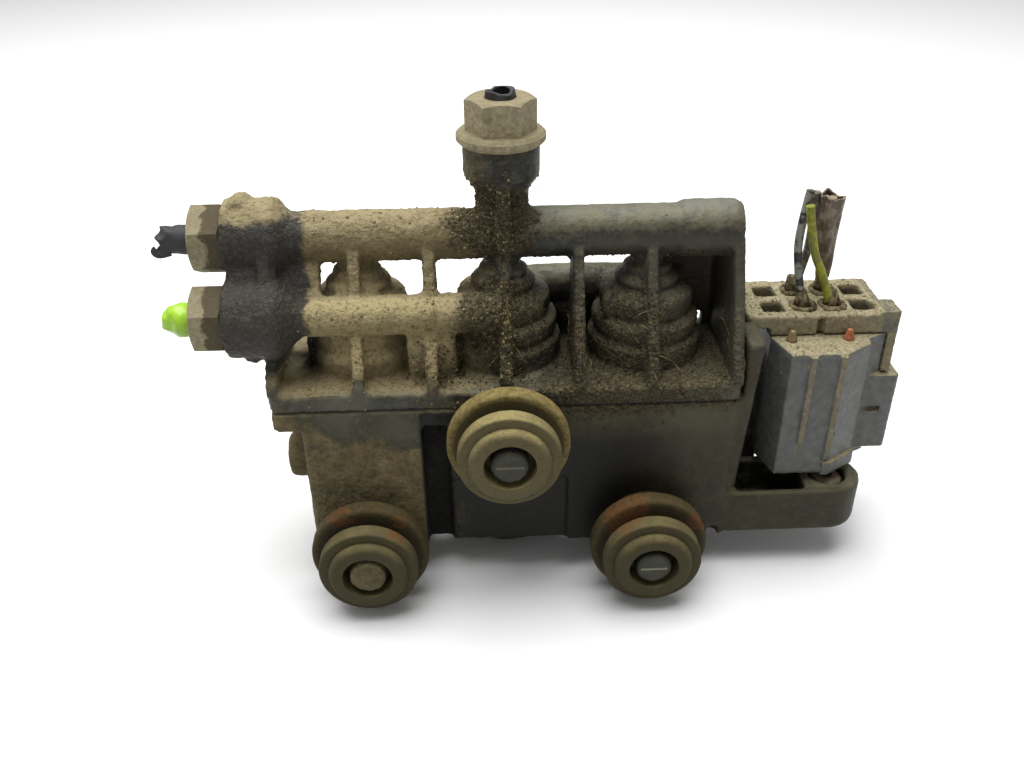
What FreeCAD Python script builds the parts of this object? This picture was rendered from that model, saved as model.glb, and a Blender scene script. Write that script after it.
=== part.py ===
import FreeCAD, Part
import math
import os

# Air suspension valve block: a black moulded manifold on a housing with three
# solenoid coils. Three rubber isolators on pegs carry it in its bracket, three
# hexagonal fittings hold cut air pipes, and an inline plug with cut leads sits
# in a socket at the right. Millimetres, +Z up, the viewer looks along +Y. The
# origin is on the upper isolator's axis, at the middle of its locating disc.

V = FreeCAD.Vector

# Valves and their spacing
valve_count = 3
valve_pitch = 30.0
valve_setback = 17.0
bay_depth = 30.0
end_overhang = 18.4
wall = 2.4
running_gap = 0.05
end_gap = 0.6
seat_gap = 0.02

# Rubber isolators and the pegs that hold them
iso_length = 15.0
iso_disc_centre = 3.6
iso_disc_r = 10.4
iso_disc_width = 3.4
iso_disc_round = 0.5
iso_nose_r = 8.4
iso_nose_round = 1.4
iso_valley_r = 8.2
iso_groove_r = 8.0
iso_groove_width = 1.8
iso_flange_r = 12.5
iso_flange_width = 3.7
iso_flange_round = 0.9
iso_foot_r = 9.0
iso_mouth_r = 5.25
iso_mouth_depth = 5.0
iso_lip_length = 6.0
iso_side_offset = 30.0
iso_drop = 27.5
peg_head_r = 3.75
peg_neck_r = 3.2
peg_root_r = 3.9
peg_root_sunk = 4.0
peg_recess = 0.3
peg_line_height = 0.25
peg_line_width = 0.7

# Manifold plate, turrets, tubes and webs
plate_thickness = 3.8
plate_top = 8.3
plate_edge_r = 0.8
gasket_thickness = 0.3
gasket_inset = 0.5
turret_base_r = 12.0
turret_base_height = 5.9
turret_base_round = 1.2
turret_ring_r = 11.2
turret_ring_height = 4.6
turret_ring_round = 1.5
turret_body_r = 9.8
turret_body_height = 5.4
turret_body_round = 2.4
turret_cap_r = 6.7
turret_cap_height = 2.6
turret_hub_r = 5.2
turret_hub_height = 2.2
turret_hub_round = 0.9
turret_neck_r = 3.6
turret_crease = 0.3
gallery_z = 35.8
gallery_r = 5.15
gallery_bore_r = 2.6
collar_r = 5.8
collar_length = 13.0
collar_chamfer = 1.3
branch_setback = 8.0
branch_z = 22.4
branch_r = 4.0
branch_bore_r = 2.0
rear_tube_setback = 26.0
rear_tube_z = 20.0
rib_width = 2.3
rib_depth = 18.5
end_wall = 2.2
chamber_r = 8.2
nozzle_r = 2.6
nozzle_tip_r = 1.6
nozzle_bore_r = 1.1
slit_width = 1.8
slit_height = 4.0

# Fittings and cut pipes
hex_flats = 12.0
side_hex_flats = 12.7
nut_length = 6.6
nut_chamfer = 0.9
boss_r = 8.0
boss_length = 12.8
boss_reach = 6.0
boss_cone = 2.6
branch_cone = 4.0
boss_web_right = -36.9
boss_web_half = 1.5
lug_r = 2.4
lug_depth = 6.0
lug_rise = 0.9
lug_setback = 3.4
lower_lug_setback = 4.4
top_boss_r = 7.5
top_boss_base = 48.5
top_boss_cone = 3.2
top_boss_top = 54.6
top_flange_r = 8.7
top_flange_width = 2.3
top_nut_length = 6.2
shank_r = 4.6
shank_length = 7.0
shank_bore_r = 1.9
pipe_r = 3.0
pipe_bore_r = 2.0
pipe_grip = 6.0
pipe_stub_top = 1.5
pipe_stub_upper = 7.0
pipe_stub_lower = 6.4
seal_wire_r = 0.7

# Coil housing
apron_bottom = -31.5
side_inset = 5.6
right_inset = 0.9
flange_drop = 4.4
cup_r = 13.0
cup_bottom = -35.4
foot_boss_r = 6.4
pocket_width = 5.4
pocket_left = -17.7
pocket_top = 0.2
pocket_depth = 2.8
panel_right = 13.0
panel_depth = 1.2
panel_drop = 14.0
corner_r = 1.6
side_boss_r = 5.2
side_boss_length = 5.0
side_boss_setback = 11.0
side_boss_z = -13.1
screw_r = 2.0
screw_head_r = 3.4
screw_head_height = 2.4
screw_length = 12.0
screw_seat_lift = 0.6
foot_screw_length = 7.4
rear_screw_boss_r = 3.9
screw_bay_setback = 25.6
screw_boss_size = 9.8
screw_boss_height = 10.2
screw_boss_setback = 7.4

# Foot arm at the right
foot_top = -20.2
foot_end_x = 79.4
foot_end_r = 7.2
foot_floor = 2.2
foot_front_wall = 1.8
foot_trench_end = 66.0
foot_recess_r = 4.2
foot_recess_depth = 3.0
notch_x = 44.5
notch_width = 2.2
notch_height = 2.4

# Side block, header and plug
side_block_width = 2.5
side_block_flare = 2.6
side_block_front = 1.0
side_block_top = 16.8
side_block_round = 1.6
side_block_shoulder = 12.2
side_block_step = 10.5
bridge_top = -0.3
bridge_bottom = -24.0
header_left = 56.6
header_right = 81.6
header_front = 4.0
header_back = 30.0
header_top = 12.5
header_bottom = -18.0
header_wall = 1.8
header_floor = 3.0
header_face_left = 59.0
header_face_right = 70.6
header_facet_x = 77.0
header_facet_setback = 8.2
header_side_setback = 12.0
band_width = 1.5
band_height = 0.7
block_width = 8.0
block_proud = 4.4
block_depth = 11.0
block_height = 19.0
block_lift = 1.6
plug_top = 17.2
plug_front = 12.0
plug_overhang = 5.2
plug_back = 29.4
plug_depth = 27.5
plug_gap = 0.25
cavity_columns = 4
cavity_rows = 2
cavity_pitch_x = 6.4
cavity_pitch_y = 7.2
cavity_x = 4.7
cavity_shift = 0.8
cavity_y = 4.8
cavity_depth = 9.0
rail_width = 1.9
rail_height = 14.0
slot_width = 1.7
slot_depth = 1.2
lock_peg_r = 1.1
lock_peg_height = 2.2
terminal_width = 1.6
terminal_thickness = 0.8
terminal_length = 12.0
wire_r = 0.8

# Solenoid coils
yoke_r = 11.2
yoke_wall = 1.0
bobbin_flange = 1.6
bobbin_core_r = 5.6
bobbin_bore_r = 4.6
winding_r = 9.2
pole_length = 14.0
plunger_r = 4.5
plunger_length = 22.0
plunger_lift = 0.9
seal_r = 3.0
seal_thickness = 1.6
spring_r = 2.5
spring_wire_r = 0.35
spring_turns = 5

# Places worked out from the driving sizes
nose_y = -iso_disc_centre
front_y = nose_y + iso_length
valve_y = front_y + valve_setback
back_y = front_y + bay_depth
valve_xs = [valve_pitch * (i - (valve_count - 1) / 2) for i in range(valve_count)]
plate_left = valve_xs[0] - end_overhang
plate_right = valve_xs[-1] + end_overhang
plate_bottom = plate_top - plate_thickness
housing_top = plate_bottom - gasket_thickness
housing_left = plate_left + side_inset
housing_right = plate_right - right_inset
table_z = -(iso_drop + iso_flange_r)
ring_z = plate_top + turret_base_height
body_z = ring_z + turret_ring_height
cap_z = body_z + turret_body_height
chamber_top = cap_z - wall
hub_z = cap_z + turret_cap_height
neck_z = hub_z + turret_hub_height
branch_y = front_y + branch_setback
rear_tube_y = front_y + rear_tube_setback
boss_right = plate_left + boss_reach
boss_left = boss_right - boss_length
yoke_low = cup_bottom + wall
yoke_high = housing_top
pole_top = yoke_low + pole_length
plunger_bottom = pole_top + plunger_lift + running_gap
plunger_top = plunger_bottom + plunger_length
seal_top = plunger_top + seal_thickness
seat_z = seal_top + seat_gap
foot_end_y = front_y + foot_end_r
foot_end_centre = foot_end_x - foot_end_r
plug_left = header_left - plug_overhang
plug_right = header_right
terminal_base = header_bottom + header_floor
screw_seat_z = housing_top - flange_drop + screw_seat_lift
screw_end_z = screw_seat_z + screw_length


def box(x0, x1, y0, y1, z0, z1):
    return Part.makeBox(x1 - x0, y1 - y0, z1 - z0, V(x0, y0, z0))


def rod_x(r, x0, x1, y, z):
    return Part.makeCylinder(r, x1 - x0, V(x0, y, z), V(1, 0, 0))


def rod_y(r, y0, y1, x, z):
    return Part.makeCylinder(r, y1 - y0, V(x, y0, z), V(0, 1, 0))


def rod_z(r, z0, z1, x, y):
    return Part.makeCylinder(r, z1 - z0, V(x, y, z0), V(0, 0, 1))


def join(shapes):
    first = shapes[0]
    return first.multiFuse(shapes[1:]).removeSplitter()


def turned(points, axis):
    """Revolve an outline of (radius, station) points about the Z or the Y axis."""
    if axis == "z":
        corners = [V(r, 0, s) for r, s in points]
        direction = V(0, 0, 1)
    else:
        corners = [V(r, s, 0) for r, s in points]
        direction = V(0, 1, 0)
    face = Part.Face(Part.makePolygon(corners + [corners[0]]))
    return face.revolve(V(0, 0, 0), direction, 360)


def prism_x(points, x0, x1):
    """Extrude an outline of (y, z) points along X."""
    corners = [V(x0, y, z) for y, z in points]
    face = Part.Face(Part.makePolygon(corners + [corners[0]]))
    return face.extrude(V(x1 - x0, 0, 0))


def prism_y(points, y0, y1):
    """Extrude an outline of (x, z) points along Y."""
    corners = [V(x, y0, z) for x, z in points]
    face = Part.Face(Part.makePolygon(corners + [corners[0]]))
    return face.extrude(V(0, y1 - y0, 0))


def prism_z(points, z0, z1):
    """Extrude an outline of (x, y) points along Z."""
    corners = [V(x, y, z0) for x, y in points]
    face = Part.Face(Part.makePolygon(corners + [corners[0]]))
    return face.extrude(V(0, 0, z1 - z0))


def round_circles(shape, radius, circle_r, station):
    """Fillet the full circles of one radius at one place along Y."""
    picked = []
    for edge in shape.Edges:
        if hasattr(edge.Curve, "Radius") and abs(edge.Curve.Radius - circle_r) < 1e-6:
            if abs(edge.CenterOfMass.y - station) < 1e-6:
                picked.append(edge)
    return shape.makeFillet(radius, picked)


def round_upright(shape, radius, places):
    """Fillet the upright edges that stand at the given (x, y) places."""
    picked = []
    for edge in shape.Edges:
        ends = [v.Point for v in edge.Vertexes]
        if len(ends) == 2 and abs(ends[0].x - ends[1].x) < 1e-6 and abs(ends[0].y - ends[1].y) < 1e-6:
            for x, y in places:
                if abs(ends[0].x - x) < 1e-6 and abs(ends[0].y - y) < 1e-6:
                    picked.append(edge)
    return shape.makeFillet(radius, picked)


def isolator(x, z):
    """One rubber isolator: nose, locating disc, groove, flange and inner lip."""
    disc_front = iso_disc_centre - iso_disc_width / 2
    disc_back = iso_disc_centre + iso_disc_width / 2
    flange_front = disc_back + iso_groove_width
    flange_back = flange_front + iso_flange_width
    lip_front = iso_mouth_depth + running_gap
    lip_back = lip_front + iso_lip_length
    outline = [
        (iso_mouth_r, 0),
        (iso_nose_r, 0),
        (iso_valley_r, disc_front),
        (iso_disc_r, disc_front),
        (iso_disc_r, disc_back),
        (iso_groove_r, disc_back),
        (iso_groove_r, flange_front),
        (iso_flange_r, flange_front),
        (iso_flange_r, flange_back),
        (iso_foot_r, flange_back),
        (iso_foot_r, iso_length),
        (peg_root_r + running_gap, iso_length),
        (peg_root_r + running_gap, lip_back),
        (peg_neck_r + running_gap, lip_back),
        (peg_neck_r + running_gap, lip_front),
        (iso_mouth_r, lip_front),
    ]
    shape = turned(outline, "y")
    shape = round_circles(shape, iso_nose_round, iso_nose_r, 0)
    for station in (disc_front, disc_back):
        shape = round_circles(shape, iso_disc_round, iso_disc_r, station)
    for station in (flange_front, flange_back):
        shape = round_circles(shape, iso_flange_round, iso_flange_r, station)
    shape.translate(V(x, nose_y, z))
    return shape


def peg(x, z):
    """The moulded snap peg that an isolator is pushed over, with its raised line."""
    head_front = nose_y + peg_recess
    neck_front = nose_y + iso_mouth_depth
    root_front = neck_front + iso_lip_length + 2 * running_gap
    head = rod_y(peg_head_r, head_front, neck_front, x, z)
    neck = rod_y(peg_neck_r, neck_front, root_front, x, z)
    root = rod_y(peg_root_r, root_front, front_y + peg_root_sunk, x, z)
    half = peg_head_r - 0.3
    line = box(x - half, x + half, head_front - peg_line_height, head_front + 0.1,
               z - peg_line_width / 2, z + peg_line_width / 2)
    return [head, neck, root, line]


def turret(x):
    """One stepped valve dome of rounded rings, with its neck up to the gallery tube."""
    steps = [
        (turret_base_r, plate_bottom, ring_z, turret_base_round),
        (turret_ring_r, ring_z, body_z, turret_ring_round),
        (turret_body_r, body_z, cap_z, turret_body_round),
        (turret_cap_r, cap_z, hub_z, turret_hub_round),
        (turret_hub_r, hub_z, neck_z, turret_hub_round),
    ]
    edges = []
    here = V(0, 0, plate_bottom)
    for r, low, high, bend in steps:
        for there in (V(r - turret_crease, 0, low), V(r, 0, low + turret_crease), V(r, 0, high - bend)):
            edges.append(Part.LineSegment(here, there).toShape())
            here = there
        turn = bend * (1 - math.sqrt(0.5))
        there = V(r - bend, 0, high)
        edges.append(Part.Arc(here, V(r - turn, 0, high - turn), there).toShape())
        here = there
    for there in (V(turret_neck_r, 0, neck_z), V(turret_neck_r, 0, gallery_z), V(0, 0, gallery_z),
                  V(0, 0, plate_bottom)):
        edges.append(Part.LineSegment(here, there).toShape())
        here = there
    shape = Part.Face(Part.Wire(edges)).revolve(V(0, 0, 0), V(0, 0, 1), 360)
    shape.translate(V(x, valve_y, 0))
    return shape


def web(x, width, top_y, top_z, depth):
    """A web whose front edge leans back from the plate's front edge to a tube."""
    outline = [
        (front_y, plate_top - 0.5),
        (front_y, plate_top + 1.2),
        (top_y, top_z),
        (valve_y, top_z),
        (front_y + depth, plate_top - 0.5),
    ]
    return prism_x(outline, x - width / 2, x + width / 2)


def manifold():
    """Plate, turrets, tubes, webs and pipe bosses as one moulding, then its bores."""
    plate = box(plate_left, plate_right, front_y, back_y, plate_bottom, plate_top)
    plate = round_upright(plate, corner_r, [(plate_left, front_y), (plate_right, front_y),
                                            (plate_left, back_y), (plate_right, back_y)])
    top_edges = [e for e in plate.Edges if abs(e.BoundBox.ZMin - plate_top) < 1e-6]
    plate = plate.makeFillet(plate_edge_r, top_edges)
    solids = [plate]
    for x in valve_xs:
        solids.append(turret(x))
    tube_front = valve_y - gallery_r + 0.4
    rib_pitch = valve_pitch / 2
    rib_count = 2 * valve_count - 1
    for i in range(rib_count):
        x = valve_xs[0] + rib_pitch * i
        solids.append(web(x, rib_width, tube_front, gallery_z, rib_depth))
    shelf_z = gallery_z - gallery_r * 0.8
    end_outline = [
        (front_y, plate_top - 0.5),
        (front_y, plate_top + 1.2),
        (valve_y - collar_r + 0.4, gallery_z),
        (valve_y, gallery_z),
        (valve_y, shelf_z),
        (back_y - 2.0, shelf_z),
        (back_y - 2.0, plate_top - 0.5),
    ]
    solids.append(prism_x(end_outline, plate_right - end_wall, plate_right))
    left_x = plate_left + end_wall / 2
    left_outline = [
        (front_y, plate_top - 0.5),
        (front_y, plate_top + 1.0),
        (branch_y - 2.5, branch_z - branch_r),
        (valve_y, branch_z),
        (valve_y + 4.0, plate_top - 0.5),
    ]
    solids.append(prism_x(left_outline, left_x - end_wall / 2, left_x + end_wall / 2))

    solids.append(rod_x(gallery_r, boss_right - boss_cone, plate_right, valve_y, gallery_z))
    collar = turned([(0, 0), (gallery_r, 0), (collar_r, collar_chamfer),
                     (collar_r, collar_length - collar_chamfer), (collar_r - collar_chamfer, collar_length),
                     (0, collar_length)], "z")
    collar.rotate(V(0, 0, 0), V(0, 1, 0), 90)
    collar.translate(V(plate_right - collar_length, valve_y, gallery_z))
    solids.append(collar)
    branch_end = valve_xs[1] - rib_width / 2 + 0.5
    solids.append(rod_x(branch_r, boss_right - boss_cone, branch_end, branch_y, branch_z))
    solids.append(rod_x(branch_r, valve_xs[1], valve_xs[2], rear_tube_y, rear_tube_z))
    solids += left_bosses()
    solids += top_boss()
    solids += rear_webs()
    solids += screw_bosses()
    gate_x = valve_xs[2] - turret_ring_r * 0.8
    gate_y = valve_y - turret_ring_r * 0.5
    solids.append(rod_z(1.0, body_z - 0.5, cap_z, gate_x, gate_y))
    body = join(solids)

    cuts = []
    for x in valve_xs:
        cuts.append(rod_z(chamber_r, plate_bottom - 1.0, chamber_top, x, valve_y))
    bore_left = boss_left - 1.0
    cuts.append(rod_x(gallery_bore_r, bore_left, plate_right + 1.0, valve_y, gallery_z))
    cuts.append(rod_x(branch_bore_r, bore_left, branch_end - 1.0, branch_y, branch_z))
    cuts.append(rod_x(branch_bore_r, valve_xs[1], valve_xs[2], rear_tube_y, rear_tube_z))
    socket_r = shank_r + running_gap
    socket_right = boss_left + shank_length + seat_gap
    cuts.append(rod_x(socket_r, bore_left, socket_right, valve_y, gallery_z))
    cuts.append(rod_x(socket_r, bore_left, socket_right, branch_y, branch_z))
    cuts.append(rod_z(gallery_bore_r, gallery_z, top_boss_top + 1.0, valve_xs[1], valve_y))
    cuts.append(rod_z(socket_r, top_boss_top - shank_length - seat_gap, top_boss_top + 1.0,
                      valve_xs[1], valve_y))
    cuts.append(rod_x(gallery_bore_r + 0.8, plate_right - 4.0, plate_right + 1.0, valve_y, gallery_z))
    slit_x = valve_xs[2] + turret_base_r + 0.8
    cuts.append(box(slit_x, slit_x + slit_width, back_y - wall - 3.0, back_y + 1.0,
                    plate_top, plate_top + slit_height))
    for x, y in screw_places():
        cuts.append(rod_z(screw_r + running_gap, plate_bottom - 1.0, screw_end_z + 0.5, x, y))
    body = body.cut(Part.makeCompound(cuts))
    body = join([body] + [nozzle(x) for x in valve_xs])
    passages = [rod_z(nozzle_bore_r, seat_z - 1.0, gallery_z, x, valve_y) for x in valve_xs]
    return body.cut(Part.makeCompound(passages)).removeSplitter()


def nozzle(x):
    """The tapered nozzle that hangs in one valve's chamber down to the plunger's seal."""
    root_z = chamber_top + 0.5
    shape = turned([(0, seat_z), (nozzle_tip_r, seat_z), (nozzle_r, chamber_top), (nozzle_r, root_z),
                    (0, root_z)], "z")
    shape.translate(V(x, valve_y, 0))
    return shape


def left_bosses():
    """The two pipe bosses at the left, the wall that joins them, their lugs and a rib."""
    solids = []
    ends = ((valve_y, gallery_z, gallery_r, boss_cone), (branch_y, branch_z, branch_r, branch_cone))
    for y, z, tube_r, cone_length in ends:
        solids.append(rod_x(boss_r, boss_left, boss_right - boss_cone, y, z))
        cone = turned([(0, 0), (boss_r, 0), (tube_r, cone_length), (0, cone_length)], "z")
        cone.rotate(V(0, 0, 0), V(0, 1, 0), 90)
        cone.translate(V(boss_right - boss_cone, y, z))
        solids.append(cone)
    lean = math.atan2(gallery_z - branch_z, valve_y - branch_y)
    waist_left = boss_left + 1.2
    for half, x0, x1 in ((boss_r * 0.6, waist_left, boss_right - boss_cone),
                         (boss_web_half, waist_left, boss_web_right)):
        side_y = half * math.sin(lean)
        side_z = half * math.cos(lean)
        outline = [
            (branch_y - side_y, branch_z + side_z),
            (branch_y + side_y, branch_z - side_z),
            (valve_y + side_y, gallery_z - side_z),
            (valve_y - side_y, gallery_z + side_z),
        ]
        solids.append(prism_x(outline, x0, x1))
    rib_x = boss_left + boss_length * 0.55
    rib_outline = [
        (branch_y - boss_r * 0.75, branch_z),
        (branch_y, branch_z),
        (valve_y, gallery_z),
        (valve_y - boss_r * 0.98, gallery_z),
    ]
    solids.append(prism_x(rib_outline, rib_x, rib_x + rib_width))
    reach = boss_r + lug_rise
    for setback, y, centre_z, base_z in (
            (lug_setback, valve_y, gallery_z + reach - lug_r, gallery_z + lug_r),
            (lower_lug_setback, branch_y, branch_z - reach + lug_r, branch_z - lug_r)):
        x = boss_left + setback
        front = y - lug_depth / 2
        solids.append(rod_y(lug_r, front, front + lug_depth, x, centre_z))
        solids.append(box(x - lug_r, x + lug_r, front, front + lug_depth,
                          min(centre_z, base_z), max(centre_z, base_z)))
    return solids


def top_boss():
    """The upright boss for the top fitting, with a rib up its front."""
    neck_r = gallery_r + 0.15
    outline = [
        (0, gallery_z),
        (neck_r, gallery_z),
        (neck_r, top_boss_base - top_boss_cone),
        (top_boss_r, top_boss_base),
        (top_boss_r, top_boss_top),
        (0, top_boss_top),
    ]
    boss = turned(outline, "z")
    boss.translate(V(valve_xs[1], valve_y, 0))
    rib = box(valve_xs[1] - rib_width / 2, valve_xs[1] + rib_width / 2,
              valve_y - top_boss_r - 0.7, valve_y, gallery_z - gallery_r * 0.3, top_boss_top - 2.0)
    return [boss, rib]


def rear_webs():
    """The low web behind the middle and right turrets and the tall one at the end."""
    low = box(valve_xs[1], plate_right - end_wall / 2, rear_tube_y - 1.0, rear_tube_y + 1.0,
              plate_top - 0.5, rear_tube_z)
    tall = box(valve_xs[2] + turret_hub_r, plate_right - end_wall / 2, back_y - 2.0 - wall, back_y - 2.0,
               plate_top - 0.5, gallery_z - gallery_r * 0.8)
    cap = box(valve_xs[2] + turret_hub_r, plate_right - end_wall / 2, valve_y, back_y - 2.0,
              gallery_z - gallery_r * 0.8 - wall, gallery_z - gallery_r * 0.8)
    return [low, tall, cap]


def screw_places():
    """Where the three screws pull the housing up against the manifold."""
    front_x = valve_xs[0] + valve_pitch / 2
    return [
        (front_x, front_y + screw_boss_setback),
        (front_x, front_y + screw_bay_setback),
        (front_x + valve_pitch, front_y + screw_bay_setback),
    ]


def screw_bosses():
    """The square boss behind the second rib and the two round ones at the back."""
    top = plate_top + screw_boss_height
    x, y = screw_places()[0]
    half = screw_boss_size / 2
    square = box(x - half, x + half, y - half + 2.2, y + half, plate_bottom, top)
    top_edges = [e for e in square.Edges if abs(e.BoundBox.ZMin - top) < 1e-6]
    bosses = [square.makeFillet(0.8, top_edges)]
    for x, y in screw_places()[1:]:
        bosses.append(rod_z(rear_screw_boss_r, plate_bottom, screw_end_z + wall, x, y))
    return bosses


def coil_housing():
    """Front apron, side walls and three coil cups, with pegs, foot and side block."""
    apron = box(housing_left, housing_right, front_y, valve_y, apron_bottom, housing_top)
    apron = round_upright(apron, corner_r, [(housing_left, front_y)])
    flange = box(plate_left, housing_right, front_y, back_y, housing_top - flange_drop, housing_top)
    flange = round_upright(flange, corner_r, [(plate_left, front_y), (plate_left, back_y)])
    solids = [apron, flange]
    for x in valve_xs:
        cup = rod_z(cup_r, cup_bottom, housing_top, x, valve_y)
        low_edges = [e for e in cup.Edges if abs(e.BoundBox.ZMax - cup_bottom) < 1e-6]
        solids.append(cup.makeFillet(2.0, low_edges))
        solids.append(rod_z(foot_boss_r, table_z, cup_bottom + 1.0, x, valve_y))
    boss_y = front_y + side_boss_setback
    boss = rod_x(side_boss_r, housing_left - side_boss_length, valve_xs[0], boss_y, side_boss_z)
    outer = [e for e in boss.Edges if abs(e.BoundBox.XMax - housing_left + side_boss_length) < 1e-6]
    solids.append(boss.makeFillet(1.5, outer))
    solids.append(foot())
    solids.append(side_block())
    solids.append(bridge())
    for x, z in peg_places():
        solids += peg(x, z)
    body = join(solids)

    cuts = []
    for x in valve_xs:
        cuts.append(rod_z(yoke_r + running_gap, yoke_low, housing_top + 1.0, x, valve_y))
    cuts.append(box(pocket_left, pocket_left + pocket_width, front_y - 1.0, front_y + pocket_depth,
                    apron_bottom - 1.0, pocket_top))
    cuts.append(box(pocket_left + pocket_width - 0.1, panel_right, front_y - 1.0, front_y + panel_depth,
                    apron_bottom - 1.0, pocket_top - panel_drop))
    cuts.append(box(notch_x, notch_x + notch_width, front_y - 1.0, front_y + 2.0,
                    apron_bottom - 1.0, apron_bottom + notch_height))
    for x, y in screw_places():
        cuts.append(rod_z(screw_r + running_gap, apron_bottom - 5.0, housing_top + 1.0, x, y))
        cuts.append(rod_z(screw_head_r + 0.4, apron_bottom - 5.0, screw_seat_z, x, y))
    return body.cut(Part.makeCompound(cuts)).removeSplitter()


def peg_places():
    return [(0.0, 0.0), (-iso_side_offset, -iso_drop), (iso_side_offset, -iso_drop)]


def foot():
    """The hollow arm at the lower right, with a round end that a screw goes through."""
    arm = box(valve_xs[-1], foot_end_centre, front_y, front_y + 2 * foot_end_r, apron_bottom, foot_top)
    end = rod_z(foot_end_r, apron_bottom, foot_top, foot_end_centre, foot_end_y)
    shape = join([arm, end])
    lower = [e for e in shape.Edges if abs(e.BoundBox.ZMax - apron_bottom) < 1e-6
             and e.BoundBox.XMax > foot_end_centre + 1.0]
    shape = shape.makeFillet(1.8, lower)
    trench = box(housing_right, foot_trench_end, front_y + foot_front_wall,
                 front_y + 2 * foot_end_r - foot_front_wall, apron_bottom + foot_floor, foot_top + 1.0)
    recess = rod_z(foot_recess_r, foot_top - foot_recess_depth, foot_top + 1.0, foot_end_centre, foot_end_y)
    hole = rod_z(screw_r + running_gap, apron_bottom - 1.0, foot_top, foot_end_centre, foot_end_y)
    return shape.cut(Part.makeCompound([trench, recess, hole]))


def side_block():
    """The flared block on the right wall, from the foot arm up past the joint."""
    y0 = front_y + side_block_front
    outer = housing_right + side_block_width
    top_x = outer + side_block_flare
    clear_x = plate_right + end_gap
    outline = [
        (housing_right - 1.0, foot_top - 0.5),
        (outer, foot_top - 0.5),
        (top_x, side_block_top),
        (clear_x, side_block_top),
        (clear_x, housing_top),
        (housing_right - 1.0, housing_top),
    ]
    shape = prism_y(outline, y0, back_y)
    shape = shape.cut(box(housing_right - 2.0, top_x + 1.0, y0 + side_block_step, back_y + 1.0,
                          side_block_shoulder, side_block_top + 1.0))
    rim = [e for e in shape.Edges if e.BoundBox.YMax < y0 + 1e-6
           and (e.BoundBox.ZMin > side_block_top - 1e-6
                or (e.BoundBox.ZMax > side_block_top - 1e-6 and e.BoundBox.XMin > outer - 1e-6))]
    return shape.makeFillet(side_block_round, rim)


def bridge(past=0.0):
    """The duct from the housing's right wall into the header; past lengthens its ends."""
    return box(housing_right - 2.0 - past, header_left + header_wall + past, front_y + header_side_setback + 4.0,
               front_y + header_back - 2.0, bridge_bottom, bridge_top)


def joint_gasket():
    """The thin gasket between housing and manifold, open over each valve."""
    sheet = box(plate_left + gasket_inset, housing_right - gasket_inset, front_y + gasket_inset,
                back_y - gasket_inset, housing_top, plate_bottom)
    sheet = round_upright(sheet, corner_r, [(plate_left + gasket_inset, front_y + gasket_inset)])
    holes = [rod_z(chamber_r + 0.3, housing_top - 1.0, plate_bottom + 1.0, x, valve_y) for x in valve_xs]
    for x, y in screw_places():
        holes.append(rod_z(screw_r + 0.3, housing_top - 1.0, plate_bottom + 1.0, x, y))
    return sheet.cut(Part.makeCompound(holes))


def hexagon(flats, length, chamfer_ends):
    """A hexagonal nut along +Z, its corners turned off at the top or at both ends."""
    corner_radius = flats / math.sqrt(3)
    points = []
    for i in range(6):
        angle = math.radians(60 * i)
        points.append((corner_radius * math.cos(angle), corner_radius * math.sin(angle)))
    nut = prism_z(points, 0, length)
    face_r = flats / 2 - 0.1
    low = nut_chamfer * 0.6 if chamfer_ends == 2 else 0.0
    low_r = face_r if chamfer_ends == 2 else corner_radius + 0.1
    outline = [
        (0, 0),
        (low_r, 0),
        (corner_radius + 0.1, low),
        (corner_radius + 0.1, length - nut_chamfer * 0.6),
        (face_r, length),
        (0, length),
    ]
    if chamfer_ends == 1:
        outline.pop(2)
    return nut.common(turned(outline, "z"))


def fitting(flanged):
    """A pipe fitting along +Z with its seat at zero: nut, shank and pipe socket."""
    seal_room = 2 * seal_wire_r
    parts = []
    base = 0.0
    if flanged:
        flange = turned([(0, 0), (top_flange_r - 0.7, 0), (top_flange_r, 0.7),
                         (top_flange_r, top_flange_width - 0.6), (top_flange_r - 0.6, top_flange_width),
                         (0, top_flange_width)], "z")
        parts.append(flange)
        base = top_flange_width
    if flanged:
        nut = hexagon(hex_flats, top_nut_length, 1)
    else:
        nut = hexagon(side_hex_flats, nut_length, 2)
    nut.translate(V(0, 0, base))
    parts.append(nut)
    parts.append(rod_z(shank_r, -shank_length, base + 1.0, 0, 0))
    body = join(parts)
    length = base + (top_nut_length if flanged else nut_length)
    socket = rod_z(pipe_r + running_gap, length - pipe_grip, length + 1.0, 0, 0)
    bore = rod_z(shank_bore_r, -shank_length - 1.0, length, 0, 0)
    groove = rod_z(shank_r + 1.0, -shank_length + 1.0, -shank_length + 1.0 + seal_room + 0.2, 0, 0)
    groove = groove.cut(rod_z(shank_r - seal_room - running_gap, -shank_length, 0, 0, 0))
    return body.cut(Part.makeCompound([socket, bore, groove]))


def fitting_seal():
    """The O-ring in the groove near the end of a fitting's shank."""
    middle = -shank_length + 1.1 + seal_wire_r
    ring = Part.makeTorus(shank_r - seal_wire_r - 0.02, seal_wire_r, V(0, 0, middle), V(0, 0, 1))
    return ring


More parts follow.
